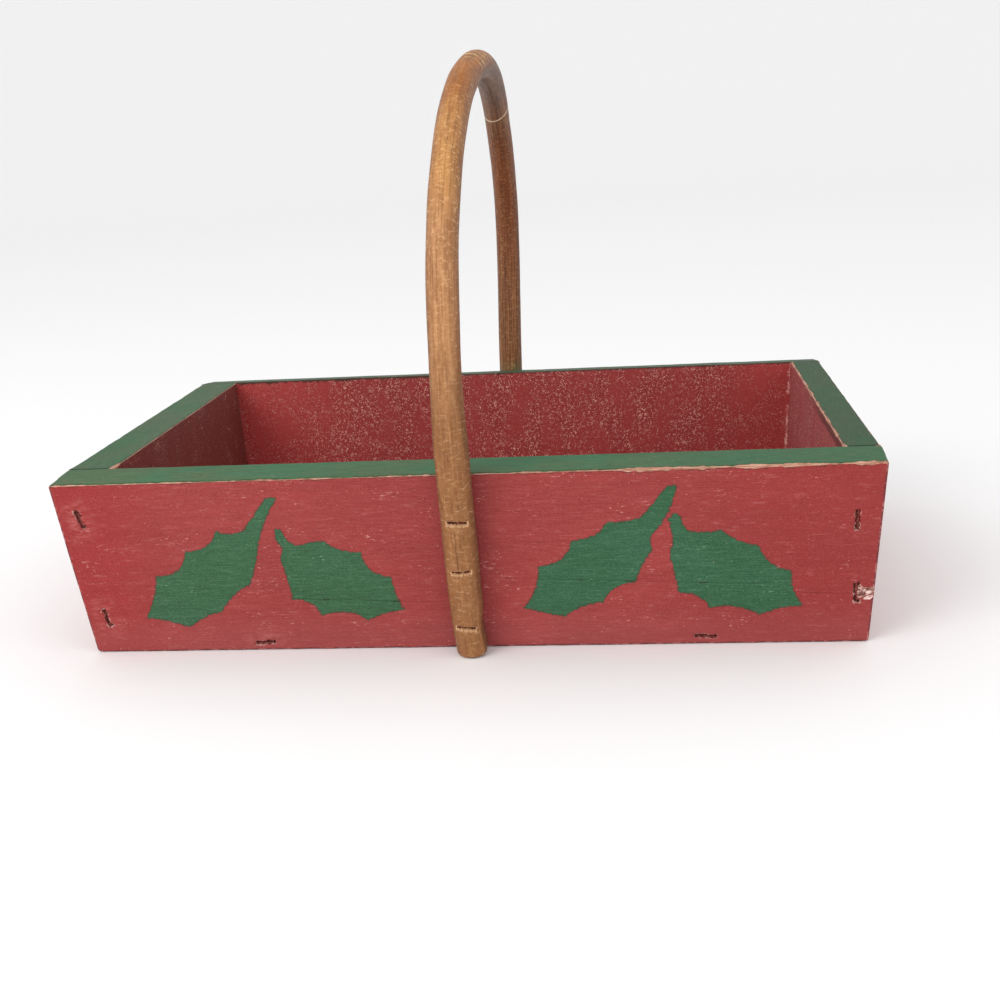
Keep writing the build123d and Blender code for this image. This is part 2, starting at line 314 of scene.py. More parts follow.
# %% Draw the leaves
leaf_pixels = {
    "left_pair_left_leaf": (
        ((265.3, 497.5), (271, 497)), ((276.1, 498.4), (257.5, 530)), ((257, 556), (254.5, 570)),
        ((250, 585.5), (234, 590)), ((222, 611.8), (204, 615)), ((190, 627.4), (168, 619)),
        ((146.5, 618), (158, 594)), ((155.6, 576.2), (184, 578)), ((185, 551.6), (212, 551.5)),
        ((215.4, 531.4), (229, 537)), ((243, 530.5), (250, 521)),
    ),
    "left_pair_right_leaf": (
        ((274.5, 529.5), (277.5, 527)), ((281.5, 530.5), (286.5, 545)), ((300, 545.8), (310, 541)),
        ((324.5, 541.6), (338, 553)), ((360.6, 552.2), (366, 576)), ((391.6, 576.8), (394, 596)),
        ((405.3, 609.6), (388, 610)), ((369, 620), (347, 606)), ((322, 615.5), (316, 600)),
        ((293.2, 599.4), (290, 583)), ((280.8, 561), (281, 554)), ((283, 548.8), (274, 541)),
    ),
    "right_pair_left_leaf": (
        ((666.4, 486.2), (671, 484.5)), ((676.7, 485.3), (672, 513)), ((650.3, 537), (650, 543)),
        ((652.5, 549), (642, 562)), ((635.5, 581.8), (612, 583.5)), ((603.5, 601.8), (577, 604.5)),
        ((566, 616.8), (544, 612.5)), ((524, 608.1), (541, 587)), ((537.7, 566.5), (567, 565)),
        ((571.2, 541.2), (602, 537)), ((606.3, 521.8), (623, 524)), ((640, 517.8), (654, 503)),
    ),
    "right_pair_right_leaf": (
        ((668.6, 520), (674.5, 508.5)), ((681.5, 518), (682.5, 533.5)), ((702, 532.3), (712, 532)),
        ((721.5, 529.8), (735, 542)), ((759, 545.8), (766, 567)), ((791.3, 570.5), (790, 592)),
        ((803.6, 605.8), (783, 605)), ((760.5, 614.2), (734, 602)), ((710, 607.6), (703, 593)),
        ((678.2, 592), (676, 575)), ((670, 557), (670.5, 550)), ((672.8, 544), (672.5, 533)),
    ),
}


def leaf_edge(spikes_and_pulls, steps=10):
    """The outline of one leaf on the board, in millimetres: between a spike and the next, the square of the rest times
    the spike, twice the rest times the share times the pull, and the square of the share times the next spike."""
    spikes, pulls = (on_front_face(points)[:, None] for points in zip(*spikes_and_pulls))
    share = (np.arange(steps) / steps)[None, :, None]
    edge = (1 - share) ** 2 * spikes + 2 * share * (1 - share) * pulls + share**2 * np.roll(spikes, -1, axis=0)
    return edge.reshape(-1, 2)


def distance_inside(points, edge):
    """How deep each point lies inside a closed outline, negative outside: the least distance to any of its short runs,
    with the sign from how many runs a level line to the right crosses."""
    start, end = edge, np.roll(edge, -1, axis=0)
    run, gap = end - start, points[:, None] - start
    share = np.clip((gap * run).sum(2) / (run**2).sum(1), 0, 1)
    distance = np.sqrt(((gap - share[..., None] * run) ** 2).sum(2).min(1))
    x, z = points[:, None, 0], points[:, None, 1]
    crosses = (start[:, 1] > z) != (end[:, 1] > z)
    meets = start[:, 0] + (z - start[:, 1]) * run[:, 0] / np.where(run[:, 1] == 0, 1e-9, run[:, 1])
    return np.where((crosses & (x < meets)).sum(1) % 2 == 1, distance, -distance)


leaf_edges = {name: leaf_edge(outline) for name, outline in leaf_pixels.items()}
for name, edge in leaf_edges.items():
    print(f"{name}: {np.ptp(edge[:, 0]):.0f} mm wide and {np.ptp(edge[:, 1]):.0f} mm high")

# %% [markdown]
# ## Marks of use on the long boards
#
# Three kinds of mark are real shapes. Each staple was driven below the surface and left a ragged pit, wider where the
# wood broke out beside a foot. The grain of the front board has opened in three thin splits, which all run down a
# little to the right. By the lower right staple the wood between staple and end has torn away. All of them are depths
# below the face at a given place on it.

# %% Define the pits, the splits and the torn wood
slot_length, slot_width = 9.6, 1.9
foot_hole, far_away = 0.8, 9.0
staple_turns = {
    "end_staple_{}_left_upper": 105, "end_staple_{}_left_lower": 98,
    "end_staple_{}_right_upper": 90, "end_staple_{}_right_lower": 91,
    "bottom_staple_{}_left": 3, "bottom_staple_{}_right": -2,
}
staple_feet = {
    "end_staple_{}_left_upper": ((-3.9, -1.2), (3.4, -0.9), (1.9, -1.1)),
    "end_staple_{}_left_lower": ((-3.6, -1.3), (4.0, 0.8)),
    "end_staple_{}_right_lower": ((4.2, -1.2), (-4.2, -1.2)),
}
split_fall = -0.045
splits_in_pixels = {
    "left": ((293, 599), (441, 603)), "middle": ((494, 578), (770, 585)), "right": ((798, 592), (873, 595))}
split_ends = {name: on_front_face(pixels) for name, pixels in splits_in_pixels.items()}
split_levels = {name: float((ends[:, 1] - split_fall * ends[:, 0]).mean()) for name, ends in split_ends.items()}


def crown_middle(node, square_to_face=True):
    """The X and Z of a staple's crown, from the box of its CAD node. Legs that stand square to the leaning face rise
    inwards, so the crown is lower than the middle of the box by half that rise."""
    low, high = box_in_mm(node)
    rise = (high[1] - low[1]) * math.tan(lean) if square_to_face else 0.0
    return (low[0] + high[0]) / 2, (low[2] + high[2] - rise) / 2


def staple_pits(side_word):
    """The middle and the turn of each staple in one long board, and where the wood broke out beside its feet."""
    return [(*crown_middle(pattern.format(side_word), "end" in pattern), math.radians(turn),
             staple_feet.get(pattern, ())) for pattern, turn in staple_turns.items()]


def beyond_pit(x, z, pits):
    """How far each place on a face lies outside the nearest staple pit, negative inside it. A pit is a slot with
    square ends, joined by a small round hole beside a foot, and its edge is broken by small waves."""
    nearest = np.full(x.shape, far_away)
    for number, (middle_x, middle_z, turn, feet) in enumerate(pits):
        along = (x - middle_x) * math.cos(turn) + (z - middle_z) * math.sin(turn)
        across = (z - middle_z) * math.cos(turn) - (x - middle_x) * math.sin(turn)
        gap = np.maximum(np.abs(along) - slot_length / 2, np.abs(across) - slot_width / 2)
        for foot_along, foot_across in feet:
            gap = np.minimum(gap, np.hypot(along - foot_along, across - foot_across) - foot_hole)
        ragged = 0.42 * waves(np.c_[x, z], 1.9, 40 + number)
        nearest = np.minimum(nearest, np.where(gap < 8, gap + ragged, far_away))
    return nearest


def split_strength(x, name):
    """How open a split is at each X, from 0 to 1: fully between its ends, closing over its last 6 mm, and narrower and
    wider on the way. The right one runs on beyond what the pixels say."""
    start, end = split_ends[name][:, 0]
    runs_out = 40.0 if name == "right" else 0.0
    open_here = soft_step(x, start - 3, start + 6) * (1 - soft_step(x, end - 6 + runs_out, end + 3 + runs_out))
    return np.clip(open_here * (0.75 + 0.35 * waves(x, 17, 52)), 0, 1)


def open_the_wood(x, z, sink, on_outside, tear_x, tear_z):
    """Deepens the front board's pits by its splits, each a groove with the shape of a bell, and by the torn wood, a
    ragged band from the lower right staple to the end. Also gives the distance to a split, and how torn a point is."""
    apart = np.full(x.shape, far_away)
    for name, level_here in split_levels.items():
        gap, strength = np.abs(z - (level_here + split_fall * x)), split_strength(x, name)
        apart = np.minimum(apart, gap + 4 * (1 - strength))
        sink = sink + on_outside * 0.55 * strength * np.exp(-((gap / 0.28) ** 2))
    height_in_tear = (z - tear_z - 0.6 * waves(x, 5, 71)) / (2.9 + 0.7 * waves(x, 3.2, 72))
    torn = on_outside * soft_step(x, tear_x - 1.5, tear_x + 1.0) * np.clip(1 - height_in_tear**2, 0, 1) ** 0.6
    return np.maximum(sink, torn * (0.95 + 0.5 * waves(np.c_[x, z * 2.4], 3.0, 73))), apart, torn


print("Splits fall through the heights", {name: round(height, 1) for name, height in split_levels.items()}, "at X 0")

# %% [markdown]
# ## The shape of a long board
#
# The front and the back board are twins, mirrored in Y. A board is worked out as if it stood upright, by its depth
# below the outer face, and leant over at the end. Its lattice narrows towards the base, which gives the raked ends.
# The grain splits follow lattice lines that fall as the grain does, so that a groove half a millimetre wide stays
# clean. The front board's left end was cut a little askew.

# %% Bend the lattice of a long board
arris_radius, inner_arris_radius = 1.4, 0.8


def rake_in(x, z):
    """How far a board's lattice shifts sideways at a height: the depth below the rim times the tangent of the rake,
    which changes evenly from one end to the other."""
    return (rim_height - z) * np.interp(x, (rim_left, rim_right), (math.tan(left_rake), -math.tan(right_rake)))


def follow_grain(x, z):
    """How far a lattice line is bent to fall with the grain: fully between 20 and 40 mm up, not at all near base or
    rim."""
    return split_fall * x * soft_step(z, 6, 20) * (1 - soft_step(z, 40, 62))


def level_of(x, z):
    """The lattice height whose line passes a given place, found by stepping back along the bend a few times."""
    level_now = z
    for _ in range(12):
        level_now = z - follow_grain(x, level_now)
    return level_now


def worn_width(x):
    """How wide the bare wood is along the outer arris of the front board: thin at the left, and torn up to two
    millimetres wide at the right."""
    torn = soft_step(x, 45, 80) * (0.8 + 0.5 * waves(x, 30, 61)) * (1 - 0.3 * soft_step(x, 165, 190))
    return 0.5 + 0.25 * waves(x, 34, 62) + 0.75 * torn + 0.22 * waves(x, 5.5, 63)


def stands_proud(x, depth, z, facing):
    """How far a board's end is moved outwards: the front board's left end is flush with the end board at its inner
    face and about three millimetres longer at its outer one, a little less at its foot."""
    askew = (2.2 + 1.3 * z / rim_height) * (1 - 0.92 * depth / side_thickness)
    left = askew * (1 - soft_step(x, rim_left - 6, rim_left + 14)) if facing < 0 else 0.0
    return 0.5 * soft_step(x, rim_right - 14, rim_right + 2) - left


def long_board_lines(pits):
    """The lattice lines along, through and up a long board, close together at its arrises, pits and splits."""
    x_places = [(rim_left, 2.5, 0.6), (rim_right, 2.5, 0.6)]
    z_places = [(base, 2.2, 0.6), (rim_height, 2.6, 0.55)]
    for middle_x, middle_z, turn, _ in pits:
        lies, stands = abs(math.cos(turn)), abs(math.sin(turn))
        half_x = 0.5 * (slot_length * lies + slot_width * stands)
        half_z = 0.5 * (slot_length * stands + slot_width * lies)
        x_places.append((middle_x - rake_in(middle_x, middle_z), half_x + 0.5, 0.48 if half_x < 4 else 0.75))
        z_places.append((level_of(middle_x, middle_z), half_z + 0.5, 0.7 if half_z > 4 else 0.48))
    z_places += [(level_here, 0.7, 0.3) for level_here in split_levels.values()]
    return (spaced_lines(rim_left, rim_right, 1.35, x_places),
            spaced_lines(0.0, side_thickness, 2.2, [(0, 2.4, 0.6), (side_thickness, 1.6, 0.5)]),
            spaced_lines(base, rim_height, 1.25, z_places))


front_worn = worn_width(np.linspace(rim_left, rim_right, 200))
print(f"The front arris is bare over {front_worn.min():.1f} to {front_worn.max():.1f} mm")

# %% [markdown]
# ## Making the long boards
#
# Every mark is also stored as an attribute, a number at each corner, for the paint to read: how far the corner is from
# the outer and inner arrises of the rim, from a leaf's edge, from a pit, from a split or from the edge of the face,
# how torn it is, how worn the arris near it is, and whether it is inside the box.

# %% Make the front and back boards


def long_board(name, side_word, facing):
    """A long board from its lattice. Facing is -1 for the front and 1 for the back."""
    pits = staple_pits(side_word)
    thickness, is_front = side_thickness, facing < 0
    lines = long_board_lines(pits)
    corners, steps, faces = block_skin(*lines)
    x, depth, z = corners.T
    on_outside, on_inside = steps[:, 1] == 0, steps[:, 1] == len(lines[1]) - 1
    on_rim = steps[:, 2] == len(lines[2]) - 1

    seed = 100 if is_front else 200
    end_gap = np.minimum(x - rim_left, rim_right - x)
    wear = worn_width(x * -facing + (0 if is_front else 35))
    radius = np.where(depth < thickness / 2, arris_radius + 0.18 * waves(x, 15, seed + 1),
                      inner_arris_radius + 0.12 * waves(x, 11, seed + 2))
    near_outer_arris = (depth < 6) & (z > rim_height / 2)
    radius = radius + np.where(near_outer_arris, 0.28 * np.clip(wear, 0, 3) * np.clip(end_gap / 6, 0, 1), 0)
    radius = radius + 0.4 * (1 - soft_step(end_gap, 1, 5)) * np.abs(z / rim_height - 0.5) * 2
    low, high = np.array((rim_left, 0.0, base)), np.array((rim_right, thickness, rim_height))
    rounded, outward = round_arrises(corners, low, high, np.clip(radius, 0.35, 3.2))
    x, depth, z = rounded.T
    below_rim = rim_height - z
    z = z + follow_grain(x, z)
    z = z - math.sin(lean) * (thickness - depth) * np.clip((z - 45) / (rim_height - 45), 0, 1)
    x = x + rake_in(x, z) + stands_proud(x, depth, z, facing)

    beyond = np.where(on_outside, beyond_pit(x, z, pits), far_away)
    ragged = waves(np.c_[x, z], 2.2, seed + 3)
    sink = (1.45 + 0.25 * ragged) * (1 - soft_step(beyond, -0.45, 0.25))
    sink -= 0.22 * np.exp(-((beyond - 0.55) / 0.35) ** 2) * np.clip(0.3 + ragged, 0, 1) * on_outside
    apart, torn = far_away, 0.0
    if is_front:
        sink, apart, torn = open_the_wood(x, z, sink, on_outside, *pits[3][:2])
    arris_gap = np.where(on_rim, depth, below_rim)
    chip_depth = 0.1 + 0.12 * waves(np.c_[x, arris_gap], 2.4, seed + 4)
    chipped = np.clip(wear + 0.3 - arris_gap, 0, 1) * (on_outside | on_rim) * chip_depth
    uneven = 0.07 * waves(np.c_[x, z + depth], 38, seed + 5) + 0.03 * waves(np.c_[x * 0.25, z + depth], 3.5, seed + 6)
    sunk = sink + np.clip(chipped, 0, 1) + uneven * np.clip(end_gap / 3, 0, 1)

    shaped = np.c_[x, depth, z] - outward * sunk[:, None]
    height = np.maximum(shaped[:, 2], base)
    placed = np.c_[shaped[:, 0], facing * (face_reach(height) - shaped[:, 1] / math.cos(lean)), height]
    leaf = np.full(x.shape, -12.0)
    for edge in leaf_edges.values():
        (left, bottom), (right, top) = edge.min(0) - 6, edge.max(0) + 6
        near = on_outside & (x > left) & (x < right) & (z > bottom) & (z < top)
        leaf[near] = np.maximum(leaf[near], distance_inside(np.c_[x[near], z[near]], edge))
    marks = {
        "outer_arris": np.where(on_rim, depth, np.where(on_inside, thickness, -below_rim)),
        "inner_arris": np.where(on_rim, thickness - depth, np.where(on_outside, thickness, -below_rim)),
        "leaf": leaf, "pit": beyond, "split": apart, "torn": torn, "wear": wear, "inside": on_inside & ~on_rim,
        "edge": np.where(on_outside, np.minimum(end_gap, corners[:, 2] - base), far_away),
    }
    return new_piece(name, placed, faces if is_front else faces[:, ::-1], marks, f"{side_word}_board")


front_piece = long_board("front_side", "front", -1)
back_piece = long_board("back_side", "back", 1)

# %% [markdown]
# ## The end boards and the bottom panel
#
# The ends stand between the long boards, so their own ends are plain butts, hardly rounded, and the joint shows on
# the rim as a thin dark line. Each leans outwards by its own rake, and is shorter at its foot, where the long boards
# come closer. The bottom panel lies between all four, level with their lower edges. The same block does for all.

# %% Make the end boards and the panel


def end_board(name, node, facing, rake, square_thickness):
    """An end board: a block whose lattice shifts inwards towards the base by the depth below the rim times the tangent
    of its rake, and shortens with the room between the long boards. Facing is -1 at the left and 1 at the right."""
    low, high = box_in_mm(node)
    thickness, is_left = square_thickness / math.cos(rake), facing < 0
    depth_lines = spaced_lines(0.0, thickness, 2.2, [(0, 2.4, 0.6), (thickness, 1.8, 0.5)])
    y_lines = spaced_lines(low[1], high[1], 1.6, [(low[1], 1.2, 0.5), (high[1], 1.2, 0.5)])
    z_lines = spaced_lines(base, rim_height, 1.8, [(base, 2.2, 0.7), (rim_height, 3.0, 0.5)])
    corners, steps, faces = block_skin(depth_lines, y_lines, z_lines)
    depth, y, z = corners.T
    on_outside, on_inside = steps[:, 0] == 0, steps[:, 0] == len(depth_lines) - 1
    on_rim = steps[:, 2] == len(z_lines) - 1

    seed = 300 if is_left else 400
    butt_gap = np.minimum(y - low[1], high[1] - y)
    rough_edge = 0.3 + 0.4 * waves(y, 17, seed + 7) + 0.3 * waves(y, 4.5, seed + 8)
    ragged_arris = 0.0 if is_left else np.clip(rough_edge, 0, 1.2)
    radius = np.where(depth < thickness / 2, arris_radius + 0.15 * waves(y, 14, seed + 1),
                      inner_arris_radius + 0.15 * waves(y, 9, seed + 2) + 0.5 * ragged_arris)
    radius = 0.35 + (np.clip(radius, 0.35, 3) - 0.35) * soft_step(butt_gap, 0.2, 3)
    block_low, block_high = np.array((0.0, low[1], base)), np.array((thickness, high[1], rim_height))
    rounded, outward = round_arrises(corners, block_low, block_high, radius)
    depth, y, z = rounded.T
    uneven = 0.08 * waves(np.c_[y, z + depth], 34, seed + 3) + 0.035 * waves(np.c_[y * 0.3, z + depth], 4, seed + 4)
    inner_gap = np.where(on_rim, thickness - depth, rim_height - z)
    front_corner_wear = np.where(is_left & (depth > thickness / 2), 2.2 * (1 - soft_step(y - low[1], 3, 11)), 0.0)
    chip_depth = 0.12 + 0.14 * waves(np.c_[y, inner_gap], 2.2, seed + 5)
    chipped = np.clip(1.4 * ragged_arris + 0.4 - inner_gap, 0, 1) * (on_inside | on_rim) * chip_depth
    sunk = (uneven + np.clip(chipped, 0, 1)) * soft_step(butt_gap, 0.3, 2)

    x = (rim_left if is_left else rim_right) - facing * (depth + (rim_height - z) * math.tan(rake))
    placed = np.c_[x, y, z] - outward * np.array((-facing, 1.0, 1.0)) * sunk[:, None]
    placed[:, 2] = np.maximum(placed[:, 2], base)
    placed[:, 1] *= inner_reach(placed[:, 2]) / inner_reach(rim_height)
    marks = {
        "outer_arris": np.where(on_rim, depth, np.where(on_inside, thickness, z - rim_height)),
        "inner_arris": np.where(on_rim, thickness - depth, np.where(on_outside, thickness, z - rim_height)),
        "butt": butt_gap, "wear": 0.45 + ragged_arris + front_corner_wear, "inside": on_inside & ~on_rim,
    }
    return new_piece(name, placed, faces if is_left else faces[:, ::-1], marks, node)


def floor_panel():
    """The bottom panel: a low block whose edges follow the leans of the four boards, so its lattice shifts as theirs
    do."""
    low, high = box_in_mm("bottom_panel")
    lines = [spaced_lines(start, end, wide, [(start, 1.2, 0.6), (end, 1.2, 0.6)])
             for start, end, wide in zip(low, high, (3.0, 3.0, 2.0))]
    corners, steps, faces = block_skin(*lines)
    rounded, outward = round_arrises(corners, low, high, np.full(len(corners), 0.6))
    x, y, z = rounded.T
    share = np.interp(x, (low[0], high[0]), (math.tan(left_rake), -math.tan(right_rake)))
    edge_gap = np.minimum(np.minimum(x - low[0], high[0] - x), np.minimum(y - low[1], high[1] - y))
    sunk = 0.12 * (1 + waves(np.c_[x * 0.3, y], 30, 501)) * soft_step(edge_gap, 1, 8)
    placed = np.c_[x + (high[2] - z) * share, y * inner_reach(z) / inner_reach(high[2]), z] - outward * sunk[:, None]
    marks = {"top": steps[:, 2] == len(lines[2]) - 1, "edge_gap": edge_gap}
    return new_piece("floor_of_the_box", placed, faces, marks, "bottom_panel")


left_piece = end_board("left_end", "left_end_board", -1, left_rake, left_thickness)
right_piece = end_board("right_end", "right_end_board", 1, right_rake, right_thickness)
floor_piece = floor_panel()

# %% [markdown]
# ## The bent cane handle
#
# The handle is one rod of cane, steamed and bent into an arch. Its legs lie straight on the leaning boards, where their
# backs were whittled flat, and it thins above the rim. Between the legs it bends in three arcs, tighter at the
# shoulders and flatter at the top. It could be a bevelled curve, but a curve can't be flat on one side or cut for
# staples. So it is a profile carried along a path: at each point of the centreline a ring of points stands round it at
# the cane's radius, and the rings stand closer together at the staples. The rod also wanders a few millimetres
# sideways, which was read off the photograph and is given at a few shares of the way.

# %% Draw the line of the handle
spring_height, leg_diameter, grip_diameter, leg_reach, foot_height = 135.0, 15.3, 13.7, 13.7, 1.1
apex_height = 266.7 - grip_diameter / 2
shoulder_turn = math.radians(77.0)
wander_stations = np.array((
    (0.0, 2.6), (0.02, 1.3), (0.046, 0.6), (0.093, 0.4), (0.137, 0.1), (0.18, 0.4), (0.233, 1.6), (0.277, 2.3),
    (0.333, 3.8), (0.387, 5.4), (0.44, 6.9), (0.5, 7.8), (0.56, 7.8), (0.611, 6.9), (0.649, 6.2), (0.722, 5.3),
    (0.788, 3.9), (0.873, 2.7), (1.0, 3.3),
))
handle_turns = {"upper": -3, "middle": 4, "lower": -5}
slot_room = {"upper": 0.3, "middle": 0.02, "lower": 0.16}
handle_staples = [f"handle_staple_{word}" for word in (
    "front_lower", "front_middle", "front_upper", "back_upper", "back_middle", "back_lower")]


def through_stations(share, stations):
    """A smooth curve through a few stations: between two of them, a cubic whose slope at each station is that of the
    line joining its neighbours."""
    places, values = stations.T
    slopes = np.gradient(values, places)
    number = np.clip(np.searchsorted(places, share) - 1, 0, len(places) - 2)
    width = places[number + 1] - places[number]
    t = (share - places[number]) / width
    return ((2 * t**3 - 3 * t**2 + 1) * values[number] + (t**3 - 2 * t**2 + t) * width * slopes[number]
            + (3 * t**2 - 2 * t**3) * values[number + 1] + (t**3 - t**2) * width * slopes[number + 1])


def cane_radius(height):
    """Half the cane's thickness at a height: the leg's up to 95 mm, then thinning to the grip's at the spring."""
    return 0.5 * (leg_diameter + (grip_diameter - leg_diameter) * soft_step(height, 95, spring_height))


def centreline(count=2001):
    """The middle of the rod from the front foot to the back foot, and the distances along it. The legs lie on the
    boards. From the spring the path turns through the shoulder arc, then through the crown arc, whose radii solve two
    equations: the half span and the rise of the arch are each a sum of one part for each arc."""
    leg_z = np.linspace(foot_height, spring_height, count)
    leg_y = -(face_reach(leg_z) + (leg_reach - cane_radius(leg_z)) / math.cos(lean))
    start, crest = math.pi / 2 + lean, math.pi / 2 + lean - shoulder_turn
    parts = [[math.sin(start) - math.sin(crest), math.sin(crest)],
             [math.cos(crest) - math.cos(start), 1 - math.cos(crest)]]
    radii = np.linalg.solve(parts, (-leg_y[-1], apex_height - spring_height))
    all_y, all_z = [leg_y], [leg_z]
    for radius, first, last in zip(radii, (start, crest), (crest, 0)):
        heading = np.linspace(first, last, count)[1:]
        all_y.append(all_y[-1][-1] + radius * (math.sin(first) - np.sin(heading)))
        all_z.append(all_z[-1][-1] + radius * (np.cos(heading) - math.cos(first)))
    y, z = np.concatenate(all_y), np.concatenate(all_z)
    points = np.c_[np.zeros(2 * len(y) - 1), np.concatenate([y, -y[-2::-1]]), np.concatenate([z, z[-2::-1]])]
    along = np.concatenate([[0], np.cumsum(np.linalg.norm(np.diff(points, axis=0), axis=1))])
    points[:, 0] = through_stations(along / along[-1], wander_stations)
    return points, along


cane_line, cane_along = centreline()
cane_length = cane_along[-1]
print(f"The cane is {cane_length:.0f} mm long from foot to foot")

# %% [markdown]
# ## The surface of the handle
#
# The rings are made once, and shaped in the order in which the maker worked: the rod's own uneven thickness, the
# rounded feet, the whittled foot of the front leg, the flat backs, and last the slots that the staples cut.

# %% Make the handle


def press_flat(surface, middle):
    """Moves the back of each leg out to the face of its board, and lets go between the rim and 118 mm up."""
    flat_end = 118.0
    release = soft_step(middle[:, 2], rim_height + 1, flat_end)[:, None] * 6.0
    for facing in (-1, 1):
        on_leg = (middle[:, 1] * facing > 0)[:, None] & (middle[:, 2] < flat_end)[:, None]
        flat = face_reach(surface[..., 2]) + 0.05 - release
        y = surface[..., 1]
        surface[..., 1] = np.where(on_leg & (y * facing < flat), flat * facing, y)


def cut_slots(surface, crowns):
    """Cuts a slot with a flat floor under each staple's crown, and gives the distance to the nearest slot's edge."""
    slot_gap = np.full(surface.shape[:2], far_away)
    slot_floor = face_reach(surface[..., 2]) + (leg_reach - 2.05) / math.cos(lean)
    ragged = 0.12 * waves(surface[..., [0, 2]].reshape(-1, 2), 1.5, 610).reshape(slot_gap.shape)
    for node, (crown_x, crown_z) in zip(handle_staples, crowns):
        facing, place_word = -1 if "front" in node else 1, node.split("_")[-1]
        turn = math.radians(handle_turns[place_word])
        x_gap, z_gap, y = surface[..., 0] - crown_x, surface[..., 2] - crown_z, surface[..., 1]
        run = x_gap * math.cos(turn) + z_gap * math.sin(turn)
        rise = z_gap * math.cos(turn) - x_gap * math.sin(turn)
        half_width = slot_width / 2 + slot_room[place_word]
        gap = np.maximum(np.abs(run) - slot_length / 2, np.abs(rise + 0.2) - half_width) + ragged
        in_front = y * facing > slot_floor - 4
        share = (1 - soft_step(gap, -0.25, 0.2)) * in_front
        slot_gap = np.where(in_front & (gap < slot_gap), gap, slot_gap)
        surface[..., 1] = np.where(y * facing > slot_floor, y + (slot_floor * facing - y) * share, y)
    return slot_gap


def bent_cane(around=96):
    """The rod as rings round the centreline. Each ring has the radius at its height, is pressed flat against the board
    behind the leg, is cut to a flat floor at each staple, and shrinks over the last millimetres of each foot."""
    crowns = [crown_middle(node) for node in handle_staples]
    rises = [(height - foot_height) / math.cos(lean) for _, height in crowns]
    staple_places = [rise if "front" in node else cane_length - rise for node, rise in zip(handle_staples, rises)]
    places = [(0.0, 2.0, 0.35), (cane_length, 2.0, 0.35)] + [(place, 2.4, 0.33) for place in staple_places]
    stations = spaced_lines(0.0, cane_length, 1.7, places)
    middle = np.stack([np.interp(stations, cane_along, cane_line[:, axis]) for axis in range(3)], 1)
    heading = np.gradient(middle, stations, axis=0)
    heading /= np.linalg.norm(heading, axis=1, keepdims=True)
    outward = np.cross(np.array((1.0, 0.0, 0.0)), heading)
    outward /= np.linalg.norm(outward, axis=1, keepdims=True)
    sideways = np.cross(heading, outward)

    angle = np.linspace(0, 2 * math.pi, around, endpoint=False)
    ring = np.cos(angle)[None, :, None] * outward[:, None] + np.sin(angle)[None, :, None] * sideways[:, None]
    height = middle[:, 2]
    on_rod = np.stack(np.broadcast_arrays(stations[:, None], 8 * np.cos(angle), 8 * np.sin(angle)), -1).reshape(-1, 3)
    uneven = 0.16 * waves(on_rod * (0.3, 1, 1), 14, 601) + 0.06 * waves(on_rod * (0.12, 1, 1), 2.6, 602)
    radius = cane_radius(height)[:, None] + uneven.reshape(len(stations), around)
    foot_drop = np.clip(1.5 - np.minimum(stations, cane_length - stations), 0, 1.5)
    radius = radius - (1.5 - np.sqrt(1.5**2 - foot_drop**2))[:, None]
    from_side = np.mod(angle - math.pi / 2 + math.pi, 2 * math.pi) - math.pi
    radius = radius - 1.3 * (np.exp(-(from_side / 0.6) ** 2)[None, :] * (1 - soft_step(stations, 14, 24))[:, None])
    thin_end = (grip_diameter / 2 + 0.75 * (1 - soft_step(height, 50, 86)))[:, None]
    thinner = np.minimum(radius, thin_end + 0.2 * (radius - cane_radius(height)[:, None]))
    radius = np.where((middle[:, 1] > 0)[:, None], thinner, radius)
    surface = middle[:, None] + ring * radius[..., None]
    press_flat(surface, middle)
    slot_gap = cut_slots(surface, crowns)

    caps = []
    for end in (surface[0], surface[-1]):
        centre = end.mean(0)
        caps.append([centre + (end - centre) * share for share in (0.85, 0.55, 0.25, 0.0)])
    grid = np.concatenate([np.stack(caps[0][::-1]), surface, np.stack(caps[1])])
    number = np.arange(grid.shape[0] * around).reshape(-1, around)
    following = np.roll(number, -1, axis=1)
    faces = np.stack([number[:-1], following[:-1], following[1:], number[1:]], -1).reshape(-1, 4)
    marks = {"along": stations[:, None], "around": np.sin(angle), "facing_out": np.cos(angle), "slot": slot_gap}
    with_caps = {name: np.pad(np.broadcast_to(values, radius.shape), ((4, 4), (0, 0)), "edge").ravel()
                 for name, values in marks.items()}
    return new_piece("bent_handle", grid.reshape(-1, 3), faces, with_caps, "handle")


cane_piece = bent_cane()

# %% [markdown]
# ## Writing a node tree as sums
#
# Materials below are layers of masks, and each takes dozens of nodes. Two small classes keep them readable. A signal
# is the output of a node: it can be added, multiplied and stepped like a number, and each such sum adds a node. The
# wiring adds the other nodes to one tree. Effects that several materials share are node groups, made once, with named
# inputs and outputs.

# %% Define signals and wiring


def paint(red, green, blue):
    """A colour as a screen shows it, from 0 to 255, as the linear numbers that a shader works with."""
    shares = np.array((red, green, blue)) / 255
    linear = np.where(shares <= 0.04045, shares / 12.92, ((shares + 0.055) / 1.055) ** 2.4)
    return (*[float(value) for value in linear], 1.0)


def shade(colour, factor):
    """A colour made darker or lighter, by a factor on each of its three parts."""
    return tuple(min(1.0, part * factor) for part in colour[:3]) + (1.0,)


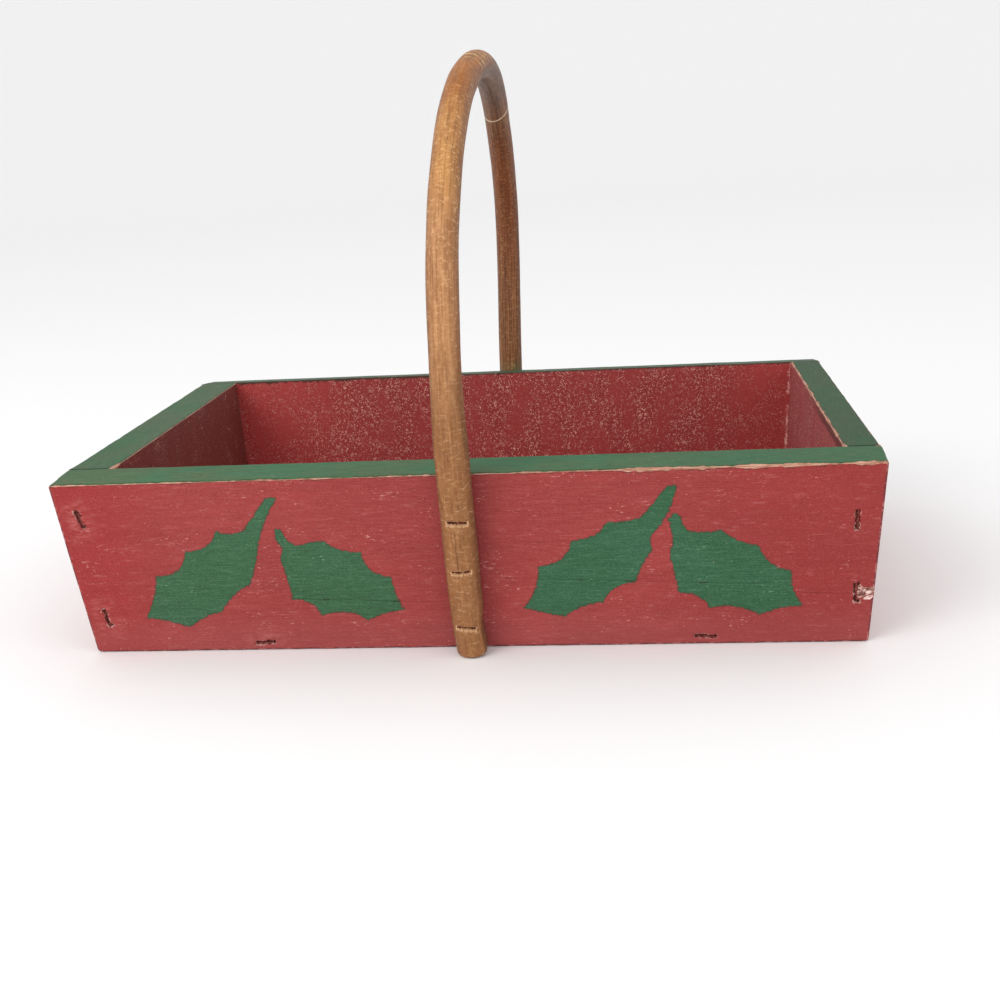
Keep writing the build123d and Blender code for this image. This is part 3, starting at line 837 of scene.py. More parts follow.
class Signal:
    """A node's output, which is worked with like a number or a colour."""

    def __init__(self, wiring, socket):
        self.wiring, self.socket = wiring, socket

    def __add__(self, other):
        return self.wiring.math("ADD", self, other)

    def __radd__(self, other):
        return self.wiring.math("ADD", other, self)

    def __sub__(self, other):
        return self.wiring.math("SUBTRACT", self, other)

    def __rsub__(self, other):
        return self.wiring.math("SUBTRACT", other, self)

    def __mul__(self, other):
        return self.wiring.math("MULTIPLY", self, other)

    def __abs__(self):
        return self.wiring.math("ABSOLUTE", self)

    def step(self, low, high):
        """0 below low, 1 above high, and smooth between. With low above high it falls."""
        plugs = {"Value": self, "From Min": low, "From Max": high, "To Min": 0.0, "To Max": 1.0}
        return self.wiring.node("ShaderNodeMapRange", plugs, interpolation_type="SMOOTHSTEP")[0]

    def near(self, middle, wide, narrow):
        """1 within the narrow distance of the middle, falling to 0 at the wide one. The other way round it rises."""
        return abs(self - middle).step(wide, narrow)

    def between(self, low, risen, falling, gone):
        """Rises from low to risen, stays 1, and falls to 0 at gone."""
        return self.step(low, risen) * self.step(gone, falling)

    def coats(self, *layers):
        """A colour under layers of paint, each given as its mask, its strength and its colour."""
        colour = self
        for mask, strength, layer in layers:
            colour = self.wiring.mix(mask * strength, colour, layer)
        return colour


class Wiring:
    """Adds nodes to one tree."""

    def __init__(self, tree):
        self.tree = tree

    def plug(self, made, plugs):
        """Puts a number, a colour or a signal into each named socket of a node."""
        for socket, value in plugs.items():
            if isinstance(value, Signal):
                self.tree.links.new(value.socket, made.inputs[socket])
            else:
                made.inputs[socket].default_value = value

    def node(self, kind, plugs=None, **settings):
        """One node, with its settings and plugs. Gives its outputs as signals, by number and by name."""
        made = self.tree.nodes.new(kind)
        for name, value in settings.items():
            setattr(made, name, value)
        self.plug(made, plugs or {})
        outputs = {}
        for number, socket in enumerate(made.outputs):
            outputs[number] = outputs[socket.name] = Signal(self, socket)
        return outputs

    def math(self, operation, *values):
        """A sum of numbers: one node, with the values in its sockets in order."""
        return self.node("ShaderNodeMath", dict(enumerate(values)), operation=operation)[0]

    def mix(self, share, first, second):
        """The first colour where the share is 0, and the second where it is 1."""
        return self.node("ShaderNodeMix", {0: share, 6: first, 7: second}, data_type="RGBA")[2]

    def scaled(self, place, stretch):
        """A place with its three parts multiplied, which stretches any pattern that reads it."""
        return self.node("ShaderNodeVectorMath", {0: place, 1: stretch}, operation="MULTIPLY")[0]

    def joined(self, x, y, z):
        """A place made of three numbers."""
        return self.node("ShaderNodeCombineXYZ", {0: x, 1: y, 2: z})[0]

    def parts(self, place):
        """The three numbers of a place."""
        outputs = self.node("ShaderNodeSeparateXYZ", {0: place})
        return outputs[0], outputs[1], outputs[2]

    def noise(self, place, scale, detail=2.0, roughness=0.5, distortion=0.0, stretch=None):
        """Soft random values round a half."""
        plugs = {"Vector": self.scaled(place, stretch) if stretch else place, "Scale": scale, "Detail": detail,
                 "Roughness": roughness, "Distortion": distortion}
        return self.node("ShaderNodeTexNoise", plugs)[0]

    def mark(self, name):
        """The value of one of the mesh's own attributes."""
        return self.node("ShaderNodeAttribute", attribute_name=name)["Fac"]

    def place_in_mm(self):
        """The place on the piece, in millimetres."""
        return self.scaled(self.node("ShaderNodeTexCoord")["Object"], (1000.0, 1000.0, 1000.0))

    def use(self, group, **plugs):
        """A node group, placed with its own values. Gives its outputs."""
        return self.node("ShaderNodeGroup", plugs, node_tree=group)

    def finish(self, shader, plugs, height, strength=0.5, distance=0.0004):
        """Plugs a shader's sockets, and gives it fine relief from a height."""
        relief = self.node("ShaderNodeBump", {"Strength": strength, "Distance": distance, "Height": height})[0]
        self.plug(shader, {**plugs, "Normal": relief})


def new_group(name, inputs, outputs):
    """An empty node group: an input of three numbers is a vector, and the rest are plain values. Gives its wiring, its
    input signals and its output node."""
    tree = bpy.data.node_groups.new(name, "ShaderNodeTree")
    for socket, value in inputs.items():
        kind = "NodeSocketVector" if isinstance(value, tuple) else "NodeSocketFloat"
        tree.interface.new_socket(name=socket, in_out="INPUT", socket_type=kind).default_value = value
    for socket in outputs:
        tree.interface.new_socket(name=socket, in_out="OUTPUT", socket_type="NodeSocketFloat")
    wiring = Wiring(tree)
    return wiring, wiring.node("NodeGroupInput"), tree.nodes.new("NodeGroupOutput")


def new_material(name):
    """A material with only its principled shader and its output. Gives it, its wiring and its shader."""
    material = bpy.data.materials.new(name)
    material.use_nodes = True
    return material, Wiring(material.node_tree), material.node_tree.nodes["Principled BSDF"]


print("Old red in a shader's numbers:", [round(part, 3) for part in paint(152, 57, 55)])

# %% [markdown]
# ## Effects that the painted pieces share
#
# Three effects come back on every board. The grain of the pine shows through the paint as fine streaks along the
# board, with wider bands, short pores and a fine grit. Old paint has small pale flecks, short strokes in the direction
# of the grain, gathered in patches. And where hands rub an arris, the paint ends in a broken line with bare wood
# beyond. The grain runs along X in these groups, so a board whose grain runs another way swaps its coordinates first.

# %% Make the grain, fleck and worn arris groups
anywhere = (0.0, 0.0, 0.0)
wiring, given, out = new_group("pine_grain", {"Place": anywhere}, ("Streaks", "Bands", "Pores", "Grit"))
place = given["Place"]
wiring.plug(out, {
    "Streaks": wiring.noise(place, 1.9, 3.0, 0.75, 0.1, stretch=(0.05, 1, 1)),
    "Bands": wiring.noise(place, 1.0, 3.0, 0.55, 0.4, stretch=(0.012, 0.13, 0.13)),
    "Pores": wiring.noise(place, 1.3, 2.0, 0.6, stretch=(0.09, 1, 1)).step(0.6, 0.68),
    "Grit": wiring.noise(place, 2.4, 2.0, 0.7, stretch=(0.55, 1, 1)),
})
grain_group = wiring.tree

wiring, given, out = new_group("paint_flecks", {"Place": anywhere, "Amount": 0.5, "Size": 1.0}, ("Flecks",))
finer = wiring.math("DIVIDE", 1.0, given["Size"])
sized = wiring.node("ShaderNodeVectorMath", {0: given["Place"], "Scale": finer}, operation="SCALE")[0]
fine = wiring.noise(sized, 1.1, 3.0, 0.65, stretch=(0.3, 1, 1))
patches = wiring.noise(given["Place"], 1.0, 3.0, 0.7, stretch=(0.04, 0.11, 0.11))
wiring.plug(out, {"Flecks": (fine - (0.9 - patches * given["Amount"] * 0.62)).step(0.0, 0.06)})
fleck_group = wiring.tree

wiring, given, out = new_group("worn_arris", {"Place": anywhere, "Gap": 5.0, "Width": 1.0}, ("Bare", "Line"))
broken = wiring.noise(given["Place"], 0.45, 4.0, 0.7)
reach = given["Width"] * (0.25 + broken * 1.5)
wiring.plug(out, {
    "Bare": (given["Gap"] - reach).step(0.18, -0.18),
    "Line": given["Gap"].near(reach + 0.3, 0.42, 0.1) * broken.step(0.42, 0.55),
})
arris_group = wiring.tree
print("Groups made:", grain_group.name, fleck_group.name, arris_group.name)

# %% [markdown]
# ## The rough inside
#
# The inside was left as the saw cut it. The blade's teeth raised the fibres in bands across the board, the paint
# caught on them in pale curled strokes, and small hollows between them stayed dark. A curl is where a noise passes
# through its middle value, so it is a thin winding line, and a wider noise decides where there are many.

# %% Make the rough sawn group
wiring, given, out = new_group(
    "rough_sawn", {"Place": anywhere, "Amount": 0.5}, ("Curls", "Hollows", "Bands", "Height"))
place = given["Place"]
winding = wiring.noise(place, 0.95, 2.0, 0.55, stretch=(1.0, 1.0, 0.8)).near(0.5, 0.026, 0.016)
cut_short = wiring.noise(place, 0.6, 2.0, 0.6).step(0.55, 0.58)
saw_bands = wiring.noise(place, 1.0, 4.0, 0.75, stretch=(0.075, 0.075, 0.03))
dense = (saw_bands + (given["Amount"] - 0.5) * 0.6).step(0.38, 0.64)
dots = wiring.noise(place, 1.3, 2.0, 0.7).step(0.63, 0.65)
curls = wiring.math("MAXIMUM", winding * cut_short, dots) * dense
wiring.plug(out, {
    "Curls": curls,
    "Hollows": wiring.noise(place, 1.2, 3.0, 0.7, stretch=(0.8, 1, 1)).step(0.47, 0.39) * dense,
    "Bands": saw_bands,
    "Height": curls * 0.6 + wiring.noise(place, 0.8, 4.0, 0.7) * 0.9,
})
sawn_group = wiring.tree
print("Group made:", sawn_group.name)

# %% [markdown]
# ## Red and green
#
# A board is built up in the order in which it was made: wood, red paint, green on the rim and in the stencil, flecks,
# scuffs and dark marks, and last the bare wood where the paint is gone. Each layer is one mix with its own mask. The
# red darkens towards both ends of the box, and is dusty at its foot. Inside, the long board is lighter towards its ends
# as painted light, its paint has flaked along the right corner, and the ends show the slanting strokes of the saw.

# %% Mix the red and the green
right_corner = rim_right - right_thickness / math.cos(right_rake) - rim_height * math.tan(right_rake)
wood_pale, wood_brown, wood_dark = paint(206, 158, 136), paint(152, 104, 82), paint(56, 33, 27)


def read_board(wiring, is_long):
    """What the paint reads on a board: the place and its parts, the place turned so that the grain runs along X, the
    grain, two wide noises, the flecks, and marks of the mesh."""
    place = wiring.place_in_mm()
    x, y, z = wiring.parts(place)
    turned = place if is_long else wiring.joined(y, x, z)
    grain = wiring.use(grain_group, Place=turned)
    return SimpleNamespace(
        is_long=is_long, place=place, x=x, y=y, z=z, turned=turned,
        streaks=grain["Streaks"], bands=grain["Bands"], pores=grain["Pores"], grit=grain["Grit"],
        wander=wiring.noise(turned, 0.35, 3.0, 0.6),
        patch=wiring.noise(turned, 1.0, 3.0, 0.6, stretch=(0.02, 0.035, 0.035)),
        flecks=wiring.use(fleck_group, Place=turned, Amount=0.76, Size=0.75)["Flecks"],
        outer_gap=wiring.mark("outer_arris"), inner_gap=wiring.mark("inner_arris"), inside=wiring.mark("inside"))


def red_outside(wiring, read, red):
    """The red of the outer faces, over the grain."""
    scuffed = wiring.noise(read.turned, 1.0, 5.0, 0.8, stretch=(0.1, 0.5, 0.5)).step(0.54, 0.72)
    return wiring.mix(read.patch.step(0.35, 0.7), red, shade(red, 1.14)).coats(
        (read.bands.step(0.45, 0.8), 0.35, paint(130, 42, 42)),
        (read.streaks.step(0.48, 0.66), 0.24, paint(122, 38, 38)),
        (read.streaks.step(0.48, 0.34), 0.24, paint(180, 92, 90)),
        (read.pores, 0.22, paint(104, 34, 34)),
        (abs(read.x + 20.0).step(90.0, 170.0), 0.6, paint(146, 44, 43)),
        (read.x.step(-130.0, -175.0), 0.3, paint(160, 36, 34)),
        (read.grit.step(0.5, 0.68), 0.3, paint(92, 28, 28)),
        (read.grit.step(0.46, 0.3), 0.12, paint(208, 140, 134)),
        (read.z.step(26.0, 4.0), 0.14, paint(176, 110, 110)),
        (scuffed, 0.36, paint(196, 118, 118)))


def red_inside(wiring, read, red, amount):
    """The red of the rough inside, with its curls. Also gives the height of the sawn wood."""
    sawn = wiring.use(sawn_group, Place=read.turned, Amount=amount)
    colour = wiring.mix(sawn["Bands"].step(0.4, 0.62) * 0.4, red, shade(red, 0.75))
    colour = colour.coats((read.streaks.step(0.5, 0.64), 0.3, shade(red, 0.55)))
    curls = sawn["Curls"]
    if read.is_long:
        # Painted light: the inside of a long board is made lighter towards both of its ends.
        colour = colour.coats((read.x.near(20.0, 85.0, 175.0), 0.7, shade(red, 1.5)))
        curls = curls * (0.45 + read.x.between(-140.0, -100.0, 115.0, 165.0) * 0.55)
    else:
        stroke = wiring.joined((read.y - read.z * 0.35) * 0.2, read.z + read.y * 0.35, 0.0)
        saw_lines = wiring.noise(stroke, 1.5, 3.0, 0.75)
        colour = colour.coats((saw_lines.step(0.5, 0.6), 0.7, shade(red, 0.5)),
                              (saw_lines.step(0.46, 0.38), 0.7, shade(red, 1.7)))
    colour = colour.coats((sawn["Hollows"], 0.4, shade(red, 0.45)))
    pale_curl = tuple(0.1 * part + 0.9 * pale for part, pale in zip(red, paint(255, 200, 180)))
    colour = wiring.mix(curls, colour, pale_curl)
    if read.is_long:
        corner_gap = abs(read.x - (right_corner - 0.8 + read.z * math.tan(right_rake)))
        flaked = (corner_gap + (wiring.noise(read.place, 0.6, 4.0, 0.75) - 0.5) * 5.5).step(0.8, 0.2)
        flaked = flaked * wiring.noise(read.place, 0.12, 5.0, 0.75).step(0.42, 0.6)
        colour = colour.coats((flaked, 0.8, paint(244, 190, 180)))
    return colour, sawn["Height"]


def green_rim(wiring, read, green, tint):
    """The green of the rim, with brighter patches."""
    colour = wiring.mix(read.patch.step(0.42, 0.66), green, tint)
    if read.is_long:
        colour = colour.coats((read.x.step(30.0, 130.0), 0.6, shade(tint, 0.85)))
    return colour.coats(
        (read.streaks.step(0.5, 0.64), 0.55, shade(green, 0.5)),
        (read.streaks.step(0.48, 0.36), 0.3, shade(green, 1.5)),
        (read.grit.step(0.5, 0.68), 0.35, shade(green, 0.4)))


print(f"The inner corner at the right stands at X {right_corner:.1f} mm at the foot")

# %% [markdown]
# ## The leaves and the marks in the paint
#
# On the long boards the stencil's edge is ragged, because paint crept under it along the grain. Along the edges of the
# face the paint is darkened as painted shade of the rounded arris, with pale spots where it has rubbed off; it has gone
# hazy round the left pits and flaked beside all of them, and the pits and splits are painted dark. On the end boards
# the
# marks follow the joints: a dark line on the rim, pale cracked paint down the inner corners, and a dark band of painted
# shade below the inner arris.

# %% Add the leaves and the marks


def stencil_leaves(wiring, read, colour):
    """Puts the green leaves on a long board. Also gives the mask of the leaves."""
    creep = wiring.noise(read.turned, 0.7, 5.0, 0.8, stretch=(0.8, 1, 1))
    leaf = wiring.mark("leaf") + (creep - 0.5) * 4.2
    in_leaf = leaf.step(-0.15, 0.15)
    green = wiring.mix(read.x.step(-30.0, 40.0), paint(54, 96, 62), paint(48, 95, 62)).coats(
        (read.streaks.step(0.48, 0.64), 0.45, paint(32, 64, 44)),
        (read.streaks.step(0.46, 0.36), 0.35, paint(84, 126, 98)),
        (read.patch.step(0.4, 0.7), 0.3, paint(60, 106, 82)),
        (read.grit.step(0.5, 0.68), 0.4, paint(22, 52, 34)),
        (read.grit.step(0.48, 0.3), 0.25, paint(118, 152, 122)),
        (read.flecks, 0.4, paint(134, 168, 140)))
    return wiring.mix(in_leaf, colour, green).coats((abs(leaf).step(0.5, 0.1), 0.55, paint(56, 48, 38))), in_leaf


def mark_long_board(wiring, read, colour):
    """Edges of the face darkened with painted shade and rubbed pale in spots, haze and flakes round the pits, and dark
    pits and splits.
    """
    place, pit = read.place, wiring.mark("pit")
    # Painted shade of the rounded arris along the edges of the face: dark in places, with pale rubbed spots in others.
    worn_and_shaded_edge = (wiring.mark("edge") + wiring.noise(place, 0.3, 4.0, 0.7) * 1.2).step(1.9, 1.1)
    wear_and_shade_colour = wiring.mix(read.wander.step(0.52, 0.58), paint(84, 42, 46), paint(190, 130, 124))
    haze = pit.step(8.0, 1.0) * read.x.step(40.0, -110.0)
    haze = haze * wiring.noise(place, 0.5, 5.0, 0.75, stretch=(0.35, 1, 1)).step(0.42, 0.66)
    flaked = (pit + wiring.noise(place, 1.1, 3.0, 0.7) * 1.6).step(1.3, 0.95) * pit.step(-0.5, -0.1)
    flaked = flaked * wiring.noise(place, 0.33, 2.0, 0.6).step(0.46, 0.56)
    # The pits and the splits are painted dark.
    pit_floor = wiring.mix(wiring.noise(place, 1.0, 3.0, 0.7).step(0.5, 0.6), paint(56, 20, 19), paint(112, 48, 44))
    split = (wiring.mark("split") + (wiring.noise(place, 0.8, 3.0) - 0.5) * 0.5).step(0.34, 0.12)
    return colour.coats(
        (worn_and_shaded_edge, 0.75, wear_and_shade_colour), (haze, 0.4, paint(198, 118, 114)), (flaked, 0.8, paint(214, 162, 150)),
        (pit.step(0.2, -0.3), 0.95, pit_floor), (split, 0.8, paint(48, 22, 22)))


def mark_end_board(wiring, read, colour, on_rim, corner_line):
    """The joint on the rim, cracked paint in the inner corners, and painted shade below the inner arris."""
    butt = wiring.mark("butt")
    joint = on_rim * (butt + (read.wander - 0.5) * 2.0).step(0.9, 0.45)
    cracked = read.inside * (butt + (wiring.noise(read.place, 0.5, 3.0, 0.7) - 0.5) * 2.6).step(0.9, 0.35)
    # Painted shade: a dark band below the inner arris, on the front half of the inside.
    painted_shade_below_arris = (abs(read.inner_gap) + read.wander * 3.0).step(6.4, 5.4) * read.inside * read.y.step(40.0, -50.0)
    return colour.coats((joint, 0.8, paint(30, 36, 26)), (cracked, corner_line, paint(206, 148, 142)),
                        (painted_shade_below_arris, corner_line, paint(74, 42, 36)))


def torn_fibres(wiring, read, colour):
    """Pale and dark fibres where wood has torn away."""
    flaking = wiring.noise(read.place, 0.75, 5.0, 0.8, stretch=(0.4, 1, 1))
    fibres = wiring.mix(flaking.step(0.42, 0.5), paint(84, 46, 42), paint(176, 118, 106))
    fibres = wiring.mix(flaking.step(0.51, 0.56), fibres, paint(238, 208, 200))
    return wiring.mix((wiring.mark("torn") + (flaking - 0.5) * 0.8).step(0.1, 0.3), colour, fibres)


print("The long boards have", len(leaf_edges), "leaves and", len(split_levels), "splits to paint")

# %% [markdown]
# ## The paint on the boards
#
# One function puts the layers together. The rim is green where both arris distances are positive, which is only on
# top, and the paint's edge wanders because a noise is added to each distance before it is compared. The bare wood at
# an arris comes last, inside a thin dark line.

# %% Paint the boards


def board_paint(name, is_long, colours, arris_wear, inside_amount, bare_wood=(wood_pale, wood_brown), corner_line=0.0):
    """The layered paint of one board. Colours are the outer red, the inner red, the rim green and its brighter
    patches; arris_wear the bare widths at the outer and inner arris, as multiples of the mesh's wear; corner_line how
    strong the marks on an end board's inside are."""
    material, wiring, shader = new_material(name)
    read = read_board(wiring, is_long)
    outer_red, inner_red, rim_green, rim_tint = colours
    inside_red, sawn_height = red_inside(wiring, read, inner_red, inside_amount)
    red = wiring.mix(read.inside, red_outside(wiring, read, outer_red), inside_red)
    on_rim = (wiring.math("MINIMUM", read.outer_gap, read.inner_gap) + (read.wander - 0.5) * 1.6).step(-0.15, 0.15)
    colour = wiring.mix(on_rim, red, green_rim(wiring, read, rim_green, rim_tint))
    colour = wiring.mix(read.flecks * (0.7 - on_rim * 0.5), colour, paint(214, 148, 140))
    height = read.streaks * 0.5
    if is_long:
        colour, in_leaf = stencil_leaves(wiring, read, colour)
        colour = mark_long_board(wiring, read, colour)
        height = height + in_leaf * 0.25
    else:
        colour = mark_end_board(wiring, read, colour, on_rim, corner_line)
    wear = wiring.mark("wear")
    outer, inner = (wiring.use(arris_group, Place=read.place, Gap=abs(gap), Width=wear * width)
                    for gap, width in zip((read.outer_gap, read.inner_gap), arris_wear))
    bare = wiring.math("MAXIMUM", outer["Bare"], inner["Bare"])
    colour = colour.coats((wiring.math("MAXIMUM", outer["Line"], inner["Line"]), 0.7, wood_dark))
    colour = wiring.mix(bare, colour, wiring.mix(read.streaks.step(0.4, 0.62), *bare_wood))
    if is_long:
        colour = torn_fibres(wiring, read, colour)
    roughness = 0.5 + (bare * 0.25 + read.streaks * 0.15)
    wiring.finish(shader, {"Base Color": colour, "Roughness": roughness, "Specular IOR Level": 0.24},
                  height + read.inside * sawn_height * 1.1)
    return material


outer_red, inner_red = paint(152, 57, 55), paint(150, 52, 51)
dark_edge = (paint(84, 54, 40), paint(50, 34, 27))
front_colours = (outer_red, inner_red, paint(72, 100, 66), paint(52, 106, 71))
back_colours = (outer_red, inner_red, paint(60, 80, 54), paint(54, 92, 62))
# The left end's inner red is darker than the other boards' as painted shade, since its inside faces away from the
# window light.
left_colours = (outer_red, paint(117, 54, 50), paint(64, 90, 58), paint(42, 92, 52))
right_colours = (outer_red, paint(162, 76, 77), paint(46, 74, 42), paint(26, 78, 38))
for piece, material in (
        (front_piece, board_paint("front_board_paint", True, front_colours, (1.0, 0.35), 0.6)),
        (back_piece, board_paint("back_board_paint", True, back_colours, (0.8, 0.9), 0.6, dark_edge)),
        (left_piece, board_paint("left_end_paint", False, left_colours, (0.7, 0.6), 0.35)),
        (right_piece, board_paint("right_end_paint", False, right_colours, (0.7, 1.0), 0.5, corner_line=0.7))):
    piece.data.materials.append(material)
    print(piece.name, "has", len(material.node_tree.nodes), "nodes of paint")

# %% [markdown]
# ## The panel inside the box
#
# The panel's upper side had the same red as the inside of the boards, and is rubbed pale where things were carried.
# It is painted darker along its edges. Its underside was never painted.

# %% Paint the panel
panel_paint, wiring, shader = new_material("panel_paint")
place = wiring.place_in_mm()
grain, sawn = wiring.use(grain_group, Place=place), wiring.use(sawn_group, Place=place, Amount=0.45)
wood = wiring.mix(grain["Streaks"].step(0.35, 0.75), paint(206, 164, 122), paint(168, 118, 82))
rubbed = wiring.noise(place, 1.0, 4.0, 0.65, stretch=(0.012, 0.02, 0.02)).step(0.5, 0.72)
# The panel is darker along its edges.
darker_near_edges = (wiring.mark("edge_gap") + wiring.noise(place, 0.2, 3.0) * 6.0).step(7.0, 2.0)
panel_red = wiring.mix(grain["Bands"].step(0.4, 0.75), inner_red, paint(112, 38, 38)).coats(
    (rubbed, 0.4, paint(190, 112, 108)), (sawn["Curls"], 0.7, paint(220, 150, 148)), (darker_near_edges, 0.6, paint(66, 34, 32)))
colour = wiring.mix(wiring.mark("top"), wood, panel_red)
wiring.finish(shader, {"Base Color": colour, "Roughness": 0.68}, sawn["Height"] + grain["Streaks"])
floor_piece.data.materials.append(panel_paint)
print("The panel is painted on its upper side")

# %% [markdown]
# ## The skin of the cane
#
# Cane keeps its fibres in one direction, along the rod, so its pattern reads two attributes of the mesh: the
# distance along the rod and the side of it. The skin is greyish brown at the leg, pale where hands polished it above
# the rim, golden and then deep brown up to the top, and dark brown on the inside of the bend. Both its sides are
# painted darker than its middle as painted shade of the round rod, the right side most, and fine fibres, mottles and
# small pale nicks lie all over it.

# %% Colour the cane
cane_skin, wiring, shader = new_material("cane_skin")
along, around, facing_out = (wiring.mark(name) for name in ("along", "around", "facing_out"))
on_rod = wiring.joined(along, around * 8.0, facing_out * 8.0)
fibres = wiring.noise(on_rod, 0.95, 5.0, 0.7, 0.2, stretch=(0.03, 1, 1))
fine_fibres = wiring.noise(on_rod, 1.0, 3.0, 0.7, stretch=(0.07, 1.8, 1.8))
mottle = wiring.noise(on_rod, 1.0, 5.0, 0.65, stretch=(0.06, 0.2, 0.2))
golden = wiring.mix(along.step(110.0, 140.0), paint(149, 99, 59), paint(191, 137, 91))
for starts, ends, tone in ((185.0, 218.0, paint(194, 138, 80)), (238.0, 268.0, paint(163, 95, 24))):
    golden = wiring.mix(along.step(starts, ends), golden, tone)
golden = wiring.mix(along.between(338.0, 352.0, 385.0, 430.0), golden, paint(104, 78, 58)).coats(
    (mottle.step(0.45, 0.66), 0.5, paint(136, 84, 42)),
    (fibres.step(0.5, 0.64), 0.45, paint(124, 78, 44)),
    (fibres.step(0.46, 0.34), 0.35, paint(208, 156, 104)))
brown = wiring.mix(fibres.step(0.4, 0.62), paint(148, 96, 54), paint(97, 58, 34)).coats(
    (along.between(434.0, 446.0, 500.0, 560.0), 0.4, paint(120, 62, 42)),
    (along.step(430.0, 396.0), 0.55, paint(74, 50, 38)))
# Painted shade: both sides of the rod are darkened, the right side most, so the middle reads lighter.
side_place = around + (fine_fibres - 0.5) * 0.5
sides = abs(side_place).step(0.15, 0.85) * along.between(100.0, 125.0, 285.0, 300.0)
colour = wiring.mix((facing_out + (mottle - 0.5) * 0.5).step(0.2, -0.4), golden, brown).coats(
    (fine_fibres.step(0.56, 0.68), 0.34, paint(84, 50, 30)),
    (side_place.step(0.7, 1.0), 0.55, paint(82, 50, 42)),
    (side_place.step(-0.72, -1.0), 0.6, paint(104, 70, 54)),
    (sides, 0.48, paint(132, 86, 52)))
print("The cane's colours run over", round(cane_length), "mm")

# %% [markdown]
# ## Scratches, cracks and the ring
#
# Curved pale scratches cross the leg, at even steps that a noise bends, and fine cracks run along it. One longer crack
# has opened on the front leg. At the top, where the bend is tightest, the fibres broke open in short pale bars with
# shadows beside them. A thin pale ring runs round the back of the arch, green paint is smeared on the inside of the
# back leg's foot, and the staples' slots show fresh wood.

# %% Mark the cane
down_the_leg = along.step(160.0, 90.0) * 0.24
scratch_wander = (wiring.noise(on_rod, 1.0, stretch=(0.06, 0.11, 0.11)) - 0.5) * 8.0
scratch_turn = wiring.math("FRACT", wiring.math("DIVIDE", along + scratch_wander, 3.3))
where_scratched = wiring.noise(on_rod, 1.0, 4.0, 0.75, stretch=(0.25, 0.14, 0.14)).step(0.5, 0.6)
scratched = scratch_turn.near(0.5, 0.12, 0.04) * where_scratched
long_cracks = wiring.noise(on_rod, 1.0, 2.0, 0.6, stretch=(0.022, 0.5, 0.5))
cracked = long_cracks.near(0.5, 0.016, 0.005) * mottle.step(0.46, 0.54)
nicks = wiring.noise(on_rod, 1.2, 3.0, 0.75, stretch=(0.7, 0.3, 0.3))
polished = along.between(130.0, 180.0, 250.0, 300.0)
nick_colour = wiring.mix(polished, paint(214, 168, 116), paint(248, 202, 150))
leg_crack = abs(around + 0.1 + (mottle - 0.5) * 0.3).step(0.05, 0.02)
leg_crack = leg_crack * facing_out.step(0.0, 0.5) * along.between(38.0, 44.0, 60.0, 66.0)
crack_wander = (wiring.noise(on_rod, 1.0, stretch=(0.3, 0.35, 0.35)) - 0.5) * 7.0
crack_turn = wiring.math("FRACT", wiring.math("DIVIDE", along + crack_wander, 8.5))
at_top = along.between(296.0, 304.0, 343.0, 350.0) * (facing_out + (fine_fibres - 0.5) * 1.6).step(0.15, 0.45)
opened, shadowed = at_top * crack_turn.near(0.5, 0.11, 0.05), at_top * crack_turn.near(0.7, 0.1, 0.04)
ring = along.near(425.5 - around * 3.5, 0.7, 0.35)
smear = along.step(588.0, 597.0) * facing_out.step(0.2, -0.2) * fibres.step(0.42, 0.54)
cut_wood = wiring.mix(fine_fibres.step(0.45, 0.6), paint(212, 168, 126), paint(186, 140, 102))
in_slot = (wiring.mark("slot") + (fine_fibres - 0.5) * 1.2).step(0.25, -0.05)
colour = colour.coats(
    (scratched, 0.1 + down_the_leg, paint(214, 178, 142)),
    (cracked, 0.08 + down_the_leg, paint(54, 30, 22)),
    (nicks.step(0.55, 0.62), 0.24 + polished * 0.06, nick_colour),
    (nicks.step(0.43, 0.38), 0.22, paint(104, 62, 34)),
    (leg_crack, 0.45, paint(62, 34, 24)),
    (shadowed, 0.7, paint(70, 44, 26)), (opened, 0.75, paint(216, 176, 104)),
    (ring, fine_fibres.step(0.36, 0.48), paint(232, 212, 184)),
    (smear, 0.75, paint(74, 92, 60)))
colour = wiring.mix(in_slot, colour, cut_wood)
height = fibres * 0.7 + fine_fibres * 0.4 - (shadowed * 1.2 + cracked * 0.8)
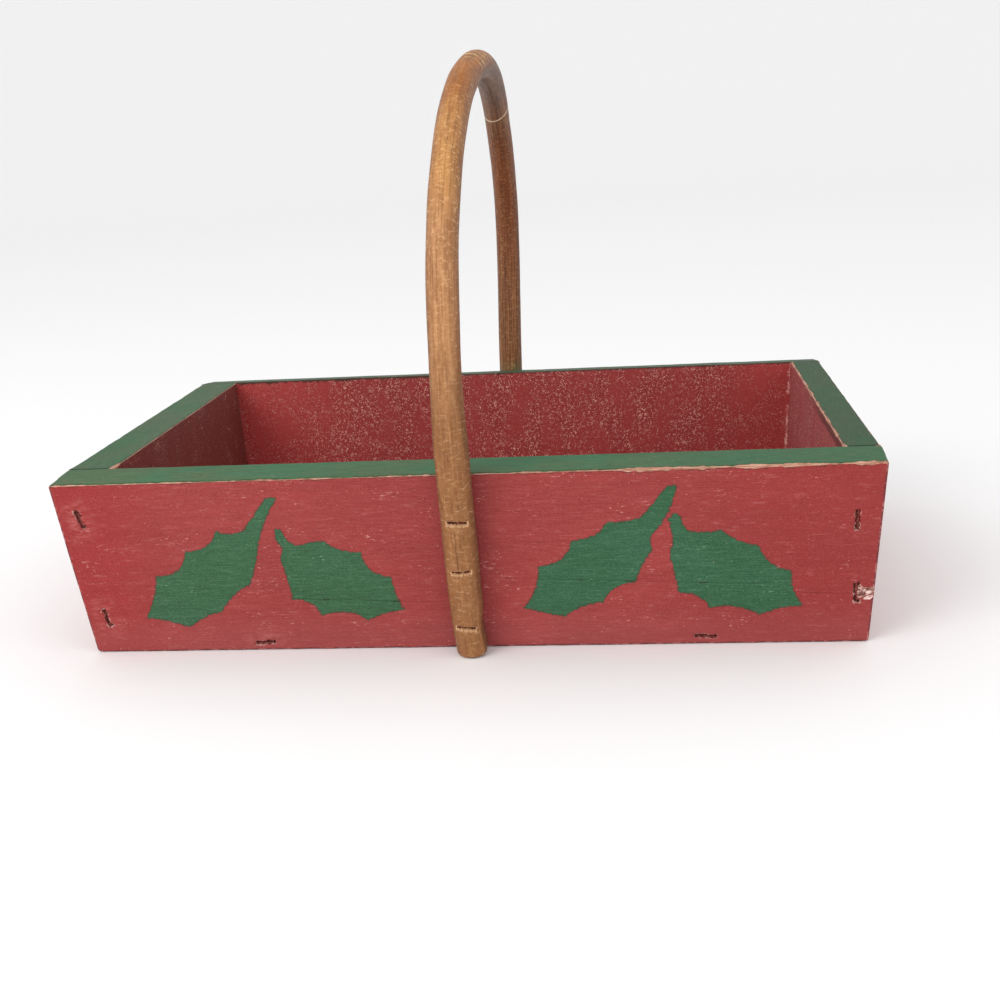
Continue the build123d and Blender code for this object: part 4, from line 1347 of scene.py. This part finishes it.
wiring.finish(shader, {"Base Color": colour, "Roughness": 0.36 + fibres * 0.25, "Specular IOR Level": 0.24}, height)
cane_piece.data.materials.append(cane_skin)
print("The cane has", len(wiring.tree.nodes), "nodes of finish")

# %% [markdown]
# ## The staples
#
# The staples are small and plain, so the CAD solids stay, with a finish of dark wire that is mostly rust and hardly
# shines. Along one side of each crown the wire is painted paler, partly as dusty grit and torn fibres filling the pit
# and partly as painted light on the crown, so only a thin, uneven dark line is left to see. Which side a point is on
# follows from its place: the distance across the crown, square to its run.

# %% Rust the staples


def staple_wire(node, turn, dust_and_light_colour, cover):
    """The finish of one staple: dark wire with rust, and a paler colour, partly dusty grit and partly painted light,
    wherever the distance across the crown, plus a little noise, is below the cover."""
    material, wiring, shader = new_material(node.replace("staple", "wire"))
    middle_x, middle_z = crown_middle(node, "bottom" not in node)
    place = wiring.place_in_mm()
    x, _, z = wiring.parts(place)
    rust = wiring.noise(place, 1.2, 4.0, 0.7).step(0.42, 0.62)
    across = (z - middle_z) * math.cos(turn) - (x - middle_x) * math.sin(turn)
    # The paler side of the crown: partly dusty grit, partly painted light.
    dust_and_light = (across + (wiring.noise(place, 0.75, 3.0, 0.7) - 0.5) * 4.0).step(cover + 0.15, cover - 0.15)
    wire = wiring.mix(rust, paint(50, 17, 14), paint(96, 34, 27))
    plugs = {"Base Color": wire.coats((dust_and_light, 0.85, dust_and_light_colour)), "Metallic": (0.2 - rust * 0.2) * (1.0 - dust_and_light),
             "Roughness": 0.6 + rust * 0.3, "Specular IOR Level": 0.15}
    wiring.finish(shader, plugs, rust + dust_and_light, strength=0.4, distance=0.0002)
    return material


for name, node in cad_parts.items():
    if "staple" in name:
        if "handle" in name:
            wire = staple_wire(name, math.radians(handle_turns[name.split("_")[-1]]), paint(186, 142, 102), -0.15)
        else:
            pattern = name.replace("front", "{}").replace("back", "{}")
            wire = staple_wire(name, math.radians(staple_turns[pattern]), paint(140, 72, 64), 0.0)
        node.data.materials.clear()
        node.data.materials.append(wire)
        print(name, "has its rust")
